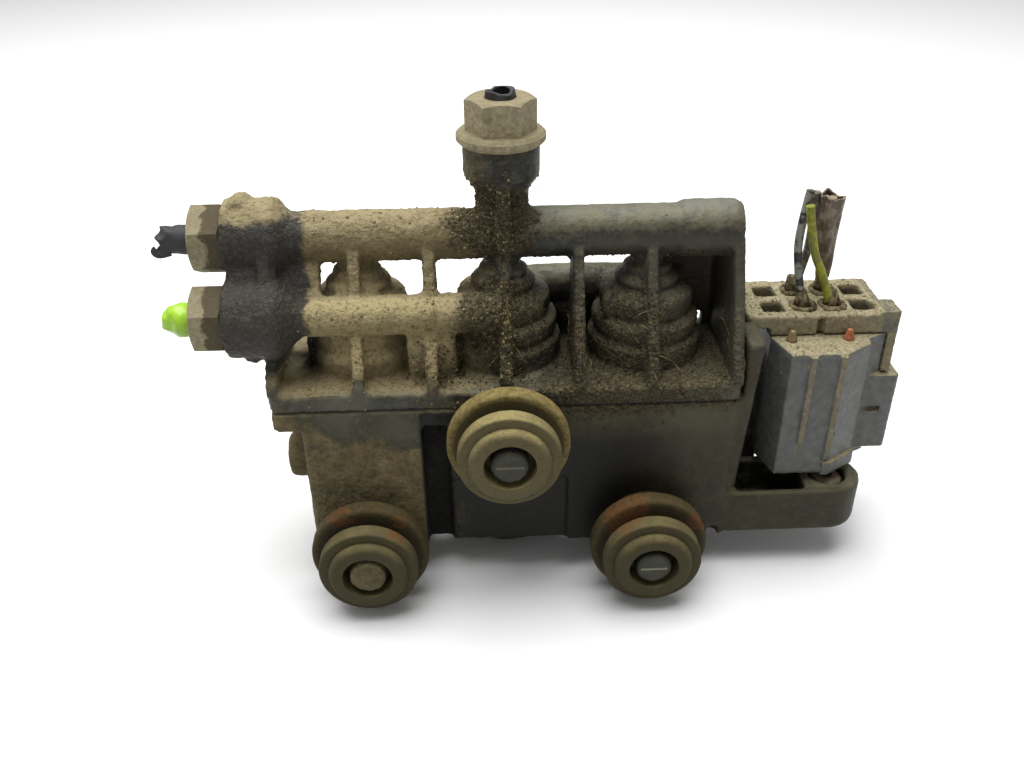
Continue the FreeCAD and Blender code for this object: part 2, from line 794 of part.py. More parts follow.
def cut_pipe(length, stub, form):
    """A cut stub of plastic air pipe along +Z, torn, plain or crimped at its end."""
    start = length - pipe_grip
    end = length + stub
    if form == "crimped":
        outline = [(pipe_bore_r, start), (pipe_r, start), (pipe_r, length + 0.6), (pipe_r + 0.55, length + 2.0),
                   (pipe_r + 0.55, length + 3.2), (pipe_r - 0.5, end - 1.2), (pipe_r - 1.4, end),
                   (pipe_bore_r - 1.2, end), (pipe_bore_r - 0.8, end - 1.4), (pipe_bore_r, length + 1.0)]
    elif form == "torn":
        outline = [(pipe_bore_r, start), (pipe_r, start), (pipe_r, length + 2.0), (pipe_r - 0.25, end - 1.6),
                   (pipe_r - 0.8, end), (pipe_bore_r - 0.5, end), (pipe_bore_r, end - 1.0)]
    else:
        outline = [(pipe_bore_r, start), (pipe_r, start), (pipe_r, end - 0.3), (pipe_r - 0.3, end),
                   (pipe_bore_r, end)]
    return turned(outline, "z")


def to_left(shape, y, z):
    """Turn a piece built along +Z so that it points along -X from a left boss."""
    shape.rotate(V(0, 0, 0), V(0, 1, 0), -90)
    shape.translate(V(boss_left, y, z))
    return shape


def to_top(shape):
    shape.translate(V(valve_xs[1], valve_y, top_boss_top))
    return shape


def solenoid(x):
    """The pieces of one coil: yoke, bobbin, winding, pole core, plunger, seal and spring."""
    low = yoke_low
    high = yoke_high
    yoke = rod_z(yoke_r, low, high, x, valve_y)
    inner = rod_z(yoke_r - yoke_wall, low + yoke_wall, high - yoke_wall, x, valve_y)
    bore_low = rod_z(bobbin_bore_r, low - 1.0, high + 1.0, x, valve_y)
    yoke = yoke.cut(Part.makeCompound([inner, bore_low]))

    spool_low = low + yoke_wall + running_gap
    spool_high = high - yoke_wall - running_gap
    flange_r = yoke_r - yoke_wall - running_gap
    spool = turned([(bobbin_bore_r, spool_low), (flange_r, spool_low), (flange_r, spool_low + bobbin_flange),
                    (bobbin_core_r, spool_low + bobbin_flange), (bobbin_core_r, spool_high - bobbin_flange),
                    (flange_r, spool_high - bobbin_flange), (flange_r, spool_high),
                    (bobbin_bore_r, spool_high)], "z")
    spool.translate(V(x, valve_y, 0))
    wind_low = spool_low + bobbin_flange
    wind_high = spool_high - bobbin_flange
    winding = rod_z(winding_r, wind_low, wind_high, x, valve_y)
    winding = winding.cut(rod_z(bobbin_core_r, wind_low - 1.0, wind_high + 1.0, x, valve_y))

    pole = rod_z(bobbin_bore_r, low, pole_top, x, valve_y)
    pocket_r = spring_r + spring_wire_r + 0.25
    spring_low = pole_top - 4.0
    spring_high = plunger_bottom + 5.0
    pole = pole.cut(rod_z(pocket_r, spring_low, pole_top + 1.0, x, valve_y))

    plunger = rod_z(plunger_r, plunger_bottom, plunger_top, x, valve_y)
    nose_low = plunger_top - 4.0
    trim = rod_z(plunger_r + 1.0, nose_low, plunger_top + 1.0, x, valve_y)
    trim = trim.cut(rod_z(seal_r + 0.9, nose_low - 1.0, plunger_top + 2.0, x, valve_y))
    seal_seat = plunger_top - seal_thickness * 0.6
    plunger = plunger.cut(Part.makeCompound([
        rod_z(pocket_r, plunger_bottom - 1.0, spring_high, x, valve_y),
        rod_z(seal_r, seal_seat, plunger_top + 1.0, x, valve_y),
        trim]))
    seal = rod_z(seal_r, seal_seat, seal_top, x, valve_y)
    spring = return_spring(x, spring_low, spring_high)
    return {"yoke": yoke, "bobbin": spool, "winding": winding, "pole_core": pole,
            "plunger": plunger, "plunger_seal": seal, "return_spring": spring}


def return_spring(x, low, high):
    """A helical return spring between the floors of its two pockets."""
    height = high - low - 2 * spring_wire_r
    pitch = height / spring_turns
    path = Part.makeHelix(pitch, height, spring_r)
    start = Part.Wire(Part.Edge(Part.Circle(V(spring_r, 0, 0), V(0, 1, 0.15), spring_wire_r)))
    coil = Part.Wire(path).makePipeShell([start], True, True)
    coil.translate(V(x, valve_y, low + spring_wire_r))
    return coil


def header():
    """The grey socket shroud: hollow, its front facets ribbed, a block at its right."""
    y0 = front_y + header_front
    outline = [
        (header_face_left, y0),
        (header_face_right, y0),
        (header_facet_x, front_y + header_facet_setback),
        (header_facet_x + 0.4, front_y + header_side_setback - 1.5),
        (header_right, front_y + header_side_setback + 0.5),
        (header_right, front_y + header_back),
        (header_left, front_y + header_back),
        (header_left, front_y + header_side_setback),
    ]
    body = prism_z(outline, header_bottom, header_top)
    rim = [e for e in body.Edges if abs(e.BoundBox.ZMin - header_top) < 1e-6
           and e.BoundBox.YMax < front_y + header_side_setback + 0.1]
    body = body.makeFillet(0.6, rim)
    solids = [body]
    for x in (header_face_left + 3.8, header_face_right - band_width):
        bottom = header_bottom + 9.0 if x < header_face_right - 2.0 else header_bottom + 4.0
        solids.append(box(x, x + band_width, y0 - band_height, y0 + 1.0, bottom, header_top - 0.4))
    foot_rim = [(header_face_right - band_width, y0 - band_height), (header_face_right + 0.4, y0 - band_height),
                (header_facet_x + 0.6, front_y + header_facet_setback - band_height),
                (header_facet_x + 0.6, front_y + header_side_setback), (header_face_right, y0 + 3.0)]
    solids.append(prism_z(foot_rim, header_bottom, header_bottom + 3.2))
    block_x = header_right + block_proud
    block_y = front_y + header_side_setback - 1.0
    block = box(block_x - block_width, block_x, block_y, block_y + block_depth,
                header_bottom + block_lift, header_bottom + block_lift + block_height)
    block = round_upright(block, 1.0, [(block_x, block_y)])
    notch = box(block_x - block_width - 1.0, block_x - 3.0, block_y - 1.0, block_y + 1.4,
                header_bottom + block_lift + block_height * 0.5, header_bottom + block_lift + block_height * 0.5 + 1.6)
    solids.append(block.cut(notch))
    body = join(solids)
    room = box(header_left + header_wall, header_right - header_wall,
               front_y + header_side_setback + header_wall, front_y + header_back - header_wall,
               header_bottom + header_floor, header_top + 1.0)
    cuts = [room]
    for x in lock_peg_xs():
        cuts.append(rod_z(lock_peg_r + running_gap, header_top - 2.0, header_top + 1.0, x, lock_peg_y()))
    cuts.append(bridge(past=running_gap))
    return body.cut(Part.makeCompound(cuts)).removeSplitter()


def lock_peg_xs():
    return [header_face_left + 1.6, header_facet_x - 4.2]


def lock_peg_y():
    return front_y + plug_front - lock_peg_r - 0.4


def cavity_centres():
    """Centres of the plug's cavities, two rows counted from the front left."""
    middle_x = (plug_left + plug_right) / 2 + cavity_shift
    middle_y = front_y + (plug_front + plug_back) / 2
    places = []
    for row in range(cavity_rows):
        for column in range(cavity_columns):
            x = middle_x + cavity_pitch_x * (column - (cavity_columns - 1) / 2)
            y = middle_y + cavity_pitch_y * (row - (cavity_rows - 1) / 2)
            places.append((x, y))
    return places


def wired_places():
    """The four cavities in use: the two middle columns of both rows."""
    front = cavity_centres()[:cavity_columns]
    rear = cavity_centres()[cavity_columns:]
    return [front[1], front[2], rear[1], rear[2]]


def plug():
    """The inline plug: a head with two rows of cavities on a body inside the shroud."""
    y0 = front_y + plug_front
    y1 = front_y + plug_back
    head = box(plug_left, plug_right, y0, y1, header_top + plug_gap, plug_top)
    head = round_upright(head, 0.8, [(plug_left, y0), (plug_right, y0)])
    head = head.cut(box(plug_left - 1.0, header_left - plug_gap, y0 - 1.0, y1 + 1.0,
                        header_top, side_block_shoulder + 2.2))
    inner_x0 = header_left + header_wall + plug_gap
    inner_x1 = header_right - header_wall - plug_gap
    inner_y0 = front_y + header_side_setback + header_wall + plug_gap
    inner_y1 = front_y + header_back - header_wall - plug_gap
    stem = box(inner_x0, inner_x1, inner_y0, inner_y1, plug_top - plug_depth, header_top + 1.0)
    rail = box(plug_right + plug_gap, plug_right + plug_gap + rail_width, y0, y0 + 6.0,
               plug_top - rail_height, plug_top + 0.6)
    link = box(plug_right - 2.0, plug_right + plug_gap + 1.0, y0, y0 + 6.0, header_top + plug_gap, plug_top + 0.6)
    body = join([head, stem, rail, link])
    cuts = []
    blank_floor = header_top + plug_gap + 0.8
    for x, y in cavity_centres():
        floor = plug_top - cavity_depth if (x, y) in wired_places() else blank_floor
        cuts.append(box(x - cavity_x / 2, x + cavity_x / 2, y - cavity_y / 2, y + cavity_y / 2,
                        floor, plug_top + 1.0))
    for x, y in wired_places():
        cuts.append(box(x - terminal_width / 2 - 0.2, x + terminal_width / 2 + 0.2,
                        y - terminal_thickness / 2 - 0.2, y + terminal_thickness / 2 + 0.2,
                        plug_top - plug_depth - 1.0, plug_top - cavity_depth + 1.0))
    slot_x = header_face_right - 4.4
    cuts.append(box(slot_x, slot_x + slot_width, y0 - 1.0, y0 + slot_depth, header_top, plug_top - 0.6))
    return body.cut(Part.makeCompound(cuts)).removeSplitter()


def terminal(x, y):
    """One blade of the header, standing on the floor of the shroud."""
    return box(x - terminal_width / 2, x + terminal_width / 2, y - terminal_thickness / 2,
               y + terminal_thickness / 2, terminal_base, terminal_base + terminal_length)


def lead(points, radius):
    """A cut lead: straight runs joined by arcs as large as the runs allow."""
    corners = [V(*p) for p in points]
    edges = []
    start = corners[0]
    for i in range(1, len(corners) - 1):
        before = corners[i] - corners[i - 1]
        after = corners[i + 1] - corners[i]
        turn = before.getAngle(after)
        trim = 0.45 * min(before.Length, after.Length)
        into = V(before).normalize()
        out = V(after).normalize()
        first = corners[i] - into * trim
        last = corners[i] + out * trim
        bend_r = trim / math.tan(turn / 2)
        inward = (out - into).normalize()
        middle = corners[i] + inward * (bend_r / math.cos(turn / 2) - bend_r)
        edges.append(Part.LineSegment(start, first).toShape())
        edges.append(Part.Arc(first, middle, last).toShape())
        start = last
    edges.append(Part.LineSegment(start, corners[-1]).toShape())
    path = Part.Wire(edges)
    along = (corners[1] - corners[0]).normalize()
    ring = Part.Wire(Part.Edge(Part.Circle(corners[0], along, radius)))
    tube = path.makePipeShell([ring], True, False)
    ideal = math.pi * radius ** 2 * path.Length
    print("lead volume over ideal", round(tube.Volume / ideal, 4))
    return tube


def leads():
    """Four cut leads that rise from the plug's cavities and lean together."""
    names = ["lead_striped", "lead_yellow", "lead_brown", "lead_dark"]
    places = dict(zip(names, wired_places()[:2] + wired_places()[:1:-1]))
    bends = {
        "lead_striped": [(-2.2, 0.4, 9.0), (-3.0, 0.9, 16.0), (-1.7, 1.2, 25.5)],
        "lead_yellow": [(-3.4, -0.6, 7.5), (-6.8, -0.9, 14.0), (-8.4, -0.9, 23.0)],
        "lead_brown": [(-2.6, -1.0, 8.0), (-3.9, -2.0, 15.0), (-1.4, -2.6, 24.5)],
        "lead_dark": [(-0.9, -0.8, 8.0), (0.6, -2.0, 15.5), (2.2, -3.6, 25.0)],
    }
    made = {}
    for name, (x, y) in places.items():
        points = [(x, y, plug_top - cavity_depth + seat_gap), (x, y, plug_top - 1.0)]
        for dx, dy, rise in bends[name]:
            points.append((x + dx, y + dy, plug_top + rise))
        made[name] = lead(points, wire_r)
    return made


def screw(x, y, head_z, length, upward):
    """A small screw with a domed socket head, its shank up or down from the head."""
    way = 1 if upward else -1
    head = turned([(0, -screw_head_height), (screw_head_r - 0.7, -screw_head_height),
                   (screw_head_r, -screw_head_height + 0.7), (screw_head_r, 0), (0, 0)], "z")
    shank = rod_z(screw_r, -0.5, length, 0, 0)
    drive = prism_z([(1.5 * math.cos(math.radians(60 * i)), 1.5 * math.sin(math.radians(60 * i)))
                     for i in range(6)], -screw_head_height - 1.0, -screw_head_height + 1.3)
    shape = join([head, shank]).cut(drive)
    if way < 0:
        shape.rotate(V(0, 0, 0), V(1, 0, 0), 180)
    shape.translate(V(x, y, head_z))
    return shape


def build():
    made = {"manifold": manifold(), "coil_housing": coil_housing(), "joint_gasket": joint_gasket()}
    names = ["isolator_upper", "isolator_left", "isolator_right"]
    for name, (x, z) in zip(names, peg_places()):
        made[name] = isolator(x, z)
    for i, x in enumerate(valve_xs):
        for name, shape in solenoid(x).items():
            made[f"{name}_{i + 1}"] = shape
    top_length = top_flange_width + top_nut_length
    made["fitting_top"] = to_top(fitting(True))
    made["fitting_seal_top"] = to_top(fitting_seal())
    made["pipe_top"] = to_top(cut_pipe(top_length, pipe_stub_top, "plain"))
    left = [("upper", valve_y, gallery_z, pipe_stub_upper, "torn"),
            ("lower", branch_y, branch_z, pipe_stub_lower, "crimped")]
    for name, y, z, stub, form in left:
        made[f"fitting_{name}"] = to_left(fitting(False), y, z)
        made[f"fitting_seal_{name}"] = to_left(fitting_seal(), y, z)
        made[f"pipe_{name}"] = to_left(cut_pipe(nut_length, stub, form), y, z)
    made["gallery_plug"] = rod_x(gallery_bore_r + 0.8 - running_gap, plate_right - 4.0, plate_right - 0.4,
                                 valve_y, gallery_z)
    made["header_shroud"] = header()
    made["plug_body"] = plug()
    for i, (x, y) in enumerate(wired_places()):
        made[f"terminal_{i + 1}"] = terminal(x, y)
    for i, x in enumerate(lock_peg_xs()):
        made[f"lock_peg_{i + 1}"] = rod_z(lock_peg_r, header_top - 2.0, header_top + lock_peg_height, x, lock_peg_y())
    made.update(leads())
    made["foot_screw"] = screw(foot_end_centre, foot_end_y, foot_top - foot_recess_depth,
                               foot_screw_length, False)
    for i, (x, y) in enumerate(screw_places()):
        made[f"clamp_screw_{i + 1}"] = screw(x, y, screw_seat_z, screw_length, True)
    return made


os.makedirs("parts", exist_ok=True)
for node, shape in build().items():
    solids = shape.Solids
    if len(solids) != 1 or not shape.isValid():
        print("check", node, "solids", len(solids), "valid", shape.isValid())
    solids[0].exportStep(f"parts/{node}.step")
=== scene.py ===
import math
import random

import bmesh
import bpy
from mathutils import Matrix, Vector, noise


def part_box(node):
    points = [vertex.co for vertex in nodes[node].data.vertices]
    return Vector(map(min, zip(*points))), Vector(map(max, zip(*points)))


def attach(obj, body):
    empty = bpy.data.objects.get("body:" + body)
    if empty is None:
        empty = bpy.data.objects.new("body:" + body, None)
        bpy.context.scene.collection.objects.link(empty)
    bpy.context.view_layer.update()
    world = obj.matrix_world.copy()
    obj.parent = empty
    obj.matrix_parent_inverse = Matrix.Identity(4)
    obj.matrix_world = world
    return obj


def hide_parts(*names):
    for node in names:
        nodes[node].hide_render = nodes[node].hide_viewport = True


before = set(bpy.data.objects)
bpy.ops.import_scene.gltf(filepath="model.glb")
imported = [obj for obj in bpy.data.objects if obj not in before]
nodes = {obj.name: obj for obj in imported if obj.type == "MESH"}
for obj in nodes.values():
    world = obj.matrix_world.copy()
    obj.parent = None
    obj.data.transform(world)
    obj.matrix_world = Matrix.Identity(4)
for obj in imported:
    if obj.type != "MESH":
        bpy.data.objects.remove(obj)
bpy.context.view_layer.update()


# Viewpoint: a phone held in front of the block and above it, looking down at it
# with a normal lens. Its place and turn come from the three round isolators.
camera_place = (-0.00445, -0.15526, 0.11427)
camera_turn = (57.9977, 0.5441, -2.2220)
lens_mm = 34.27

camera_data = bpy.data.cameras.new("viewpoint")
camera_data.lens = lens_mm
camera_data.sensor_width = 36.0
camera_data.clip_start = 0.01
camera = bpy.data.objects.new("viewpoint", camera_data)
camera.location = camera_place
camera.rotation_euler = [math.radians(angle) for angle in camera_turn]
bpy.context.scene.collection.objects.link(camera)
bpy.context.scene.camera = camera
bpy.context.scene.view_settings.view_transform = "Standard"


# Table: a white sheet that fills the picture and keeps the block's soft shadow.
# Light: one wide soft lamp overhead and an even fill from the white room.
class Wire:
    """A shader socket that can stand in a sum: each operator adds its Math node."""

    def __init__(self, tree, socket=None):
        self.tree = tree
        self.socket = socket

    def node(self, kind, inputs=None, settings=None, output=0):
        made = self.tree.nodes.new("ShaderNode" + kind)
        for name, value in (settings or {}).items():
            if name == "stops":
                for i, (place, shade) in enumerate(value):
                    stop = made.color_ramp.elements[i] if i < 2 else made.color_ramp.elements.new(place)
                    stop.position = place
                    stop.color = (*shade, 1.0)
            else:
                setattr(made, name, value)
        for place, value in (inputs or {}).items():
            if isinstance(value, Wire):
                self.tree.links.new(value.socket, made.inputs[place])
            elif value is not None:
                made.inputs[place].default_value = value
        return Wire(self.tree, made.outputs[output] if made.outputs else None)

    def math(self, operation, first, second=0.0):
        return self.node("Math", {0: first, 1: second}, {"operation": operation})

    def __add__(self, other):
        return self.math("ADD", self, other)

    __radd__ = __add__

    def __sub__(self, other):
        return self.math("SUBTRACT", self, other)

    def __rsub__(self, other):
        return self.math("SUBTRACT", other, self)

    def __mul__(self, other):
        return self.math("MULTIPLY", self, other)

    __rmul__ = __mul__

    def most(self, other):
        return self.math("MAXIMUM", self, other)

    def least(self, other):
        return self.math("MINIMUM", self, other)

    def __abs__(self):
        return self.math("ABSOLUTE", self)

    def step(self, low, high):
        """0 below low, 1 above high and a smooth slope between; low may be the larger."""
        return self.node("MapRange", {"Value": self, "From Min": low, "From Max": high},
                         {"interpolation_type": "SMOOTHSTEP"})

    def mix(self, low, high):
        """The colour low where this mask is 0 and high where it is 1."""
        colours = {6: low, 7: high}
        for place, colour in colours.items():
            if isinstance(colour, tuple):
                colours[place] = (*colour, 1.0)
        return self.node("Mix", {0: self, **colours}, {"data_type": "RGBA"}, output=2)


def srgb(red, green, blue):
    """A colour as picked on a screen, in the renderer's linear numbers."""
    return tuple((c / 255 / 12.92) if c < 11 else ((c / 255 + 0.055) / 1.055) ** 2.4
                 for c in (red, green, blue))


table_gap = 0.0001
table_middle = (0.0, 0.3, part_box("isolator_left")[0].z - table_gap)
table_size = 4.0
seen_white = 0.97
bounced_white = 0.40

table_mesh = bpy.data.meshes.new("table")
sheet = bmesh.new()
bmesh.ops.create_grid(sheet, x_segments=1, y_segments=1, size=table_size / 2,
                      matrix=Matrix.Translation(table_middle))
sheet.to_mesh(table_mesh)
sheet.free()
table = bpy.data.objects.new("table", table_mesh)
bpy.context.scene.collection.objects.link(table)

table_finish = bpy.data.materials.new("white_table")
table_finish.use_nodes = True
table_finish.node_tree.nodes.clear()
paper = Wire(table_finish.node_tree)
rays = table_finish.node_tree.nodes.new("ShaderNodeLightPath")
seen = Wire(paper.tree, rays.outputs["Is Camera Ray"])
for other_ray in ("Is Glossy Ray", "Is Transmission Ray"):
    seen = seen.most(Wire(paper.tree, rays.outputs[other_ray]))
white = seen.mix((bounced_white,) * 3, (seen_white,) * 3)
paper.node("OutputMaterial", {"Surface": paper.node("BsdfDiffuse", {"Color": white})})
table_mesh.materials.append(table_finish)

room = bpy.data.worlds.new("white_room")
room.use_nodes = True
room.node_tree.nodes.clear()
walls = Wire(room.node_tree)
rays = room.node_tree.nodes.new("ShaderNodeLightPath")
seen = Wire(walls.tree, rays.outputs["Is Camera Ray"])
fill_strength = 0.28
strength = seen * (1.0 - fill_strength) + fill_strength
sky = walls.node("Background", {"Color": (1.0, 1.0, 1.0, 1.0), "Strength": strength})
walls.node("OutputWorld", {"Surface": sky})
bpy.context.scene.world = room

lamp_watts = 9.5
lamp_side = 0.75
lamp_place = (-0.05, 0.12, 0.72)
block_middle = Vector((0.0, 0.02, 0.0))
lamp_data = bpy.data.lights.new("overhead_softbox", "AREA")
lamp_data.energy = lamp_watts
lamp_data.size = lamp_side
lamp = bpy.data.objects.new("overhead_softbox", lamp_data)
lamp.location = lamp_place
lamp.rotation_euler = (block_middle - lamp.location).to_track_quat("-Z", "Y").to_euler()
bpy.context.scene.collection.objects.link(lamp)


# Manifold: one black glass-filled nylon moulding with turrets, tubes and ribs. Years
# under a car have caked it with khaki road dust, thick on what faces up, brown and
# coarse round the middle, and soaked with oil over the two pipe bosses at the left.
khaki_pale = srgb(158, 145, 110)
khaki_mid = srgb(134, 121, 86)
khaki_dark = srgb(92, 79, 52)
khaki_dry = srgb(178, 163, 120)
crumb_tones = (srgb(50, 44, 32), srgb(76, 68, 48), srgb(108, 98, 70))
rust_dirt = srgb(104, 66, 40)
oil_black = srgb(38, 37, 34)
oil_sheen = srgb(78, 77, 73)
nylon_black = srgb(30, 30, 26)
nylon_film = srgb(106, 103, 82)
nylon_blue = srgb(104, 103, 86)
nylon_brown = srgb(84, 77, 54)
# painted shade: near-black used for the shaded middle panel and the hollows
painted_shade_nylon = srgb(20, 19, 15)
grain = 0.0009
left_boss_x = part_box("manifold")[0].x
panel_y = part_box("manifold")[0].y
crust_places = [
    ((-0.0020, 0.0231, 0.0405), 0.0120, 1.00),
    ((0.0240, 0.0131, 0.0105), 0.0240, 0.80),
    ((0.0010, 0.0171, 0.0200), 0.0140, 1.00),
    ((0.0300, 0.0284, 0.0220), 0.0180, 0.28),
    ((-0.0140, 0.0200, 0.0120), 0.0100, 0.60),
    ((0.0400, 0.0200, 0.0080), 0.0170, 0.62),
]


class Dirt:
    """What lies on one piece: masks for dust, brown crust and oil, and their colours."""

    def __init__(self, tree):
        self.start = Wire(tree)
        place = tree.nodes.new("ShaderNodeTexCoord")
        self.place = Wire(tree, place.outputs["Object"])
        self.facing = Wire(tree, place.outputs["Normal"])
        self.x, self.y, self.z = self.parts(self.place)
        self.up = self.parts(self.facing)[2]
        form = tree.nodes.new("ShaderNodeNewGeometry")
        self.edge = Wire(tree, form.outputs["Pointiness"])

    def parts(self, vector):
        split = vector.tree.nodes.new("ShaderNodeSeparateXYZ")
        vector.tree.links.new(vector.socket, split.inputs[0])
        return [Wire(vector.tree, socket) for socket in split.outputs]

    def noise(self, size, detail=3.0, rough=0.6, shift=0.0):
        """Cloudy noise from 0 to 1 whose lumps are about size metres wide."""
        return self.start.node("TexNoise", {"Vector": self.place, "W": shift, "Scale": 1.0 / size,
                                            "Detail": detail, "Roughness": rough},
                               {"noise_dimensions": "4D"})

    def grains(self, size):
        """Distance to the nearest grain, for grit and pits about size metres apart."""
        return self.start.node("TexVoronoi", {"Vector": self.place, "Scale": 1.0 / size})

    def around(self, node):
        """Distance from the front-to-back axis through the middle of a node."""
        low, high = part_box(node)
        flat = self.start.node("VectorMath", {0: self.place, 1: (1.0, 0.0, 1.0)}, {"operation": "MULTIPLY"})
        axis = ((low.x + high.x) / 2, 0.0, (low.z + high.z) / 2)
        return self.start.node("VectorMath", {0: flat, 1: axis}, {"operation": "DISTANCE"}, output=1)

    def near(self, point, radius, soft=0.5):
        """1 close to a point, 0 past radius metres from it, with a ragged edge."""
        reach = self.start.node("VectorMath", {0: self.place, 1: point}, {"operation": "DISTANCE"}, output=1)
        ragged = reach + (self.noise(radius * 0.5, 4.0) - 0.5) * radius * 0.9
        return ragged.step(radius, radius * (1.0 - soft))


def surface(material_name, colour, roughness, height, relief, gloss=0.35, metallic=0.0):
    """Finish a material from its wires: colour, roughness and a bump of relief metres."""
    tree = colour.tree
    start = Wire(tree)
    bump = start.node("Bump", {"Height": height, "Distance": relief, "Strength": 1.0})
    shader = start.node("BsdfPrincipled", {"Base Color": colour, "Roughness": roughness, "Normal": bump,
                                           "Metallic": metallic, "Specular IOR Level": gloss})
    start.node("OutputMaterial", {"Surface": shader})
    return bpy.data.materials[material_name]


def new_material(name):
    material = bpy.data.materials.new(name)
    material.use_nodes = True
    material.node_tree.nodes.clear()
    return Dirt(material.node_tree)


def crumbs(dirt, size):
    """Colour of loose crumbs about size metres wide, each of its own tone."""
    cell = dirt.start.node("TexVoronoi", {"Vector": dirt.place, "Scale": 1.0 / size}, output=1)
    pick = dirt.parts(cell)[0]
    stops = [(0.0, crumb_tones[0]), (0.45, crumb_tones[1]), (1.0, crumb_tones[2])]
    return dirt.start.node("ValToRGB", {0: pick}, {"stops": stops})


def caked_plastic(name, dust_level, gloss):
    """Dark moulded plastic under road dust, with painted shade in its hollows and on the middle panel and a painted
    sheen on the right tube's top; dust_level shifts how much of it is covered.
    """
    dirt = new_material(name)
    clouds = dirt.noise(0.006, 5.0) - 0.5
    patches = dirt.noise(0.0016, 4.0) - 0.5
    flecks = dirt.noise(0.0007, 2.0, 0.6, 6.0) - 0.5
    upward = dirt.up.step(0.0, 0.8)
    leftward = (dirt.x + clouds * 0.008).step(0.002, -0.012)
    cover = leftward * 0.50 + upward * 0.10 + clouds * 0.7 + patches * 0.5 + dust_level

    front = dirt.y.step(panel_y + 0.0025, panel_y + 0.0008) * dirt.z.step(0.012, 0.0105)
    panel_left = dirt.x.step(-0.0165, -0.0185) * dirt.z.step(0.0042, 0.0036)
    cover = cover - front * (1.0 - panel_left) * 0.30
    blue_places = dirt.near((-0.034, panel_y, 0.0045), 0.0120, 0.9)
    blue_places = blue_places.most(dirt.near((-0.0225, panel_y, 0.0005), 0.0085, 0.9))
    blue_places = blue_places.most(dirt.near((0.0400, panel_y, 0.0005), 0.014, 0.9))
    blue_places = blue_places * front * (1.0 - dirt.up.step(0.5, 0.8))
    cover = cover - blue_places * 0.55
    dusted = cover.step(0.20, 0.72)

    crusts = [dirt.near(point, radius) * share for point, radius, share in crust_places]
    crust = crusts[0]
    for another in crusts[1:]:
        crust = crust.most(another)
    crust = crust * (dirt.z.step(0.0000, 0.0050) * 0.65 + 0.35)
    crusted = (crust * 0.9 + patches * 1.1 + flecks * 0.8 + upward * 0.15).step(0.25, 0.80)

    oily_edge = dirt.x + (dirt.noise(0.005, 4.0) - 0.5) * 0.007
    oily = oily_edge.step(left_boss_x + 0.0166, left_boss_x + 0.0150)
    oily = oily * dirt.z.step(0.0105, 0.0135) * (1.0 - (dirt.z + patches * 0.004).step(0.0405, 0.0420))

    thick = (dirt.noise(0.0035, 4.0) + dirt.up * 0.25).step(0.38, 0.85)
    dust_colour = thick.mix(khaki_mid, khaki_pale)
    rib_face = dirt.y.step(panel_y + 0.0078, panel_y + 0.0066) * dirt.z.step(0.0115, 0.0130)
    dust_colour = (rib_face * dirt.x.step(-0.008, -0.012)).mix(dust_colour, khaki_dry)
    dust_colour = (dirt.noise(grain, 3.0, 0.7, 9.0).step(0.50, 0.36) * 0.55).mix(dust_colour, khaki_dark)
    rusty = dirt.near((0.022, panel_y, -0.003), 0.013) * dirt.noise(0.0010, 3.0, 0.6, 4.0).step(0.50, 0.62)
    crust_colour = (rusty * 0.4).mix(crumbs(dirt, 0.00045), rust_dirt)
    thin = (dirt.noise(0.0028, 5.0, 0.65, 2.0) + upward * 0.35 + flecks * 0.5).step(0.40, 0.95)
    bare = (blue_places * 0.7).mix(thin.mix(nylon_black, nylon_film), nylon_blue)
    browned = front * dirt.x.step(-0.004, 0.018) * (clouds + 0.6)
    bare = (browned * 0.9).mix(bare, nylon_brown)
    dim_right = dirt.x.step(0.014, 0.020) * dirt.z.step(0.0090, 0.0105) * dirt.z.step(0.0400, 0.0330)
    bare = (dim_right * (clouds * 1.2 + 0.75)).mix(bare, srgb(70, 66, 52))
    # painted sheen: a light grey on the upward top of the right gallery tube stands in for its soft highlight
    painted_top_sheen = dirt.x.step(0.006, 0.012) * dirt.z.step(0.0400, 0.0430) * dirt.up.step(0.4, 0.9)
    bare = painted_top_sheen.mix(bare, srgb(112, 112, 106))
    # painted shade: the housing's middle front panel, below the plate, is darkened nearly to black, less at the right
    in_shade = front * (dirt.x + clouds * 0.010).step(-0.0185, -0.0160)
    in_shade = in_shade * (dirt.z - clouds * 0.008).step(0.001, -0.006)
    in_shade = in_shade * (1.0 - dirt.x.step(0.022, 0.044) * 0.75)
    # painted shade: the front pocket, the plate under the branch tube and the spot under the top boss are darkened,
    # and dust is kept off them
    pocket_painted_shade = dirt.x.step(-0.0186, -0.0178) * dirt.x.step(-0.0110, -0.0118)
    pocket_painted_shade = pocket_painted_shade * dirt.z.step(0.0038, 0.0030) * dirt.y.step(panel_y + 0.020, panel_y + 0.010)
    painted_shade_under_branch = dirt.near((-0.0400, panel_y + 0.0150, 0.0125), 0.0090)
    painted_shade_under_boss = dirt.near((-0.004, panel_y + 0.014, 0.016), 0.007)
    painted_hollow_shade = pocket_painted_shade.most(painted_shade_under_branch).most(painted_shade_under_boss)
    bare = in_shade.most(painted_hollow_shade).mix(bare, painted_shade_nylon)
    peg = dirt.y.step(panel_y - 0.0030, panel_y - 0.0040)
    bare = peg.mix(bare, thin.mix(srgb(88, 88, 74), srgb(126, 125, 104)))
    for isolator in ("isolator_upper", "isolator_right"):
        low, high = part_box(isolator)
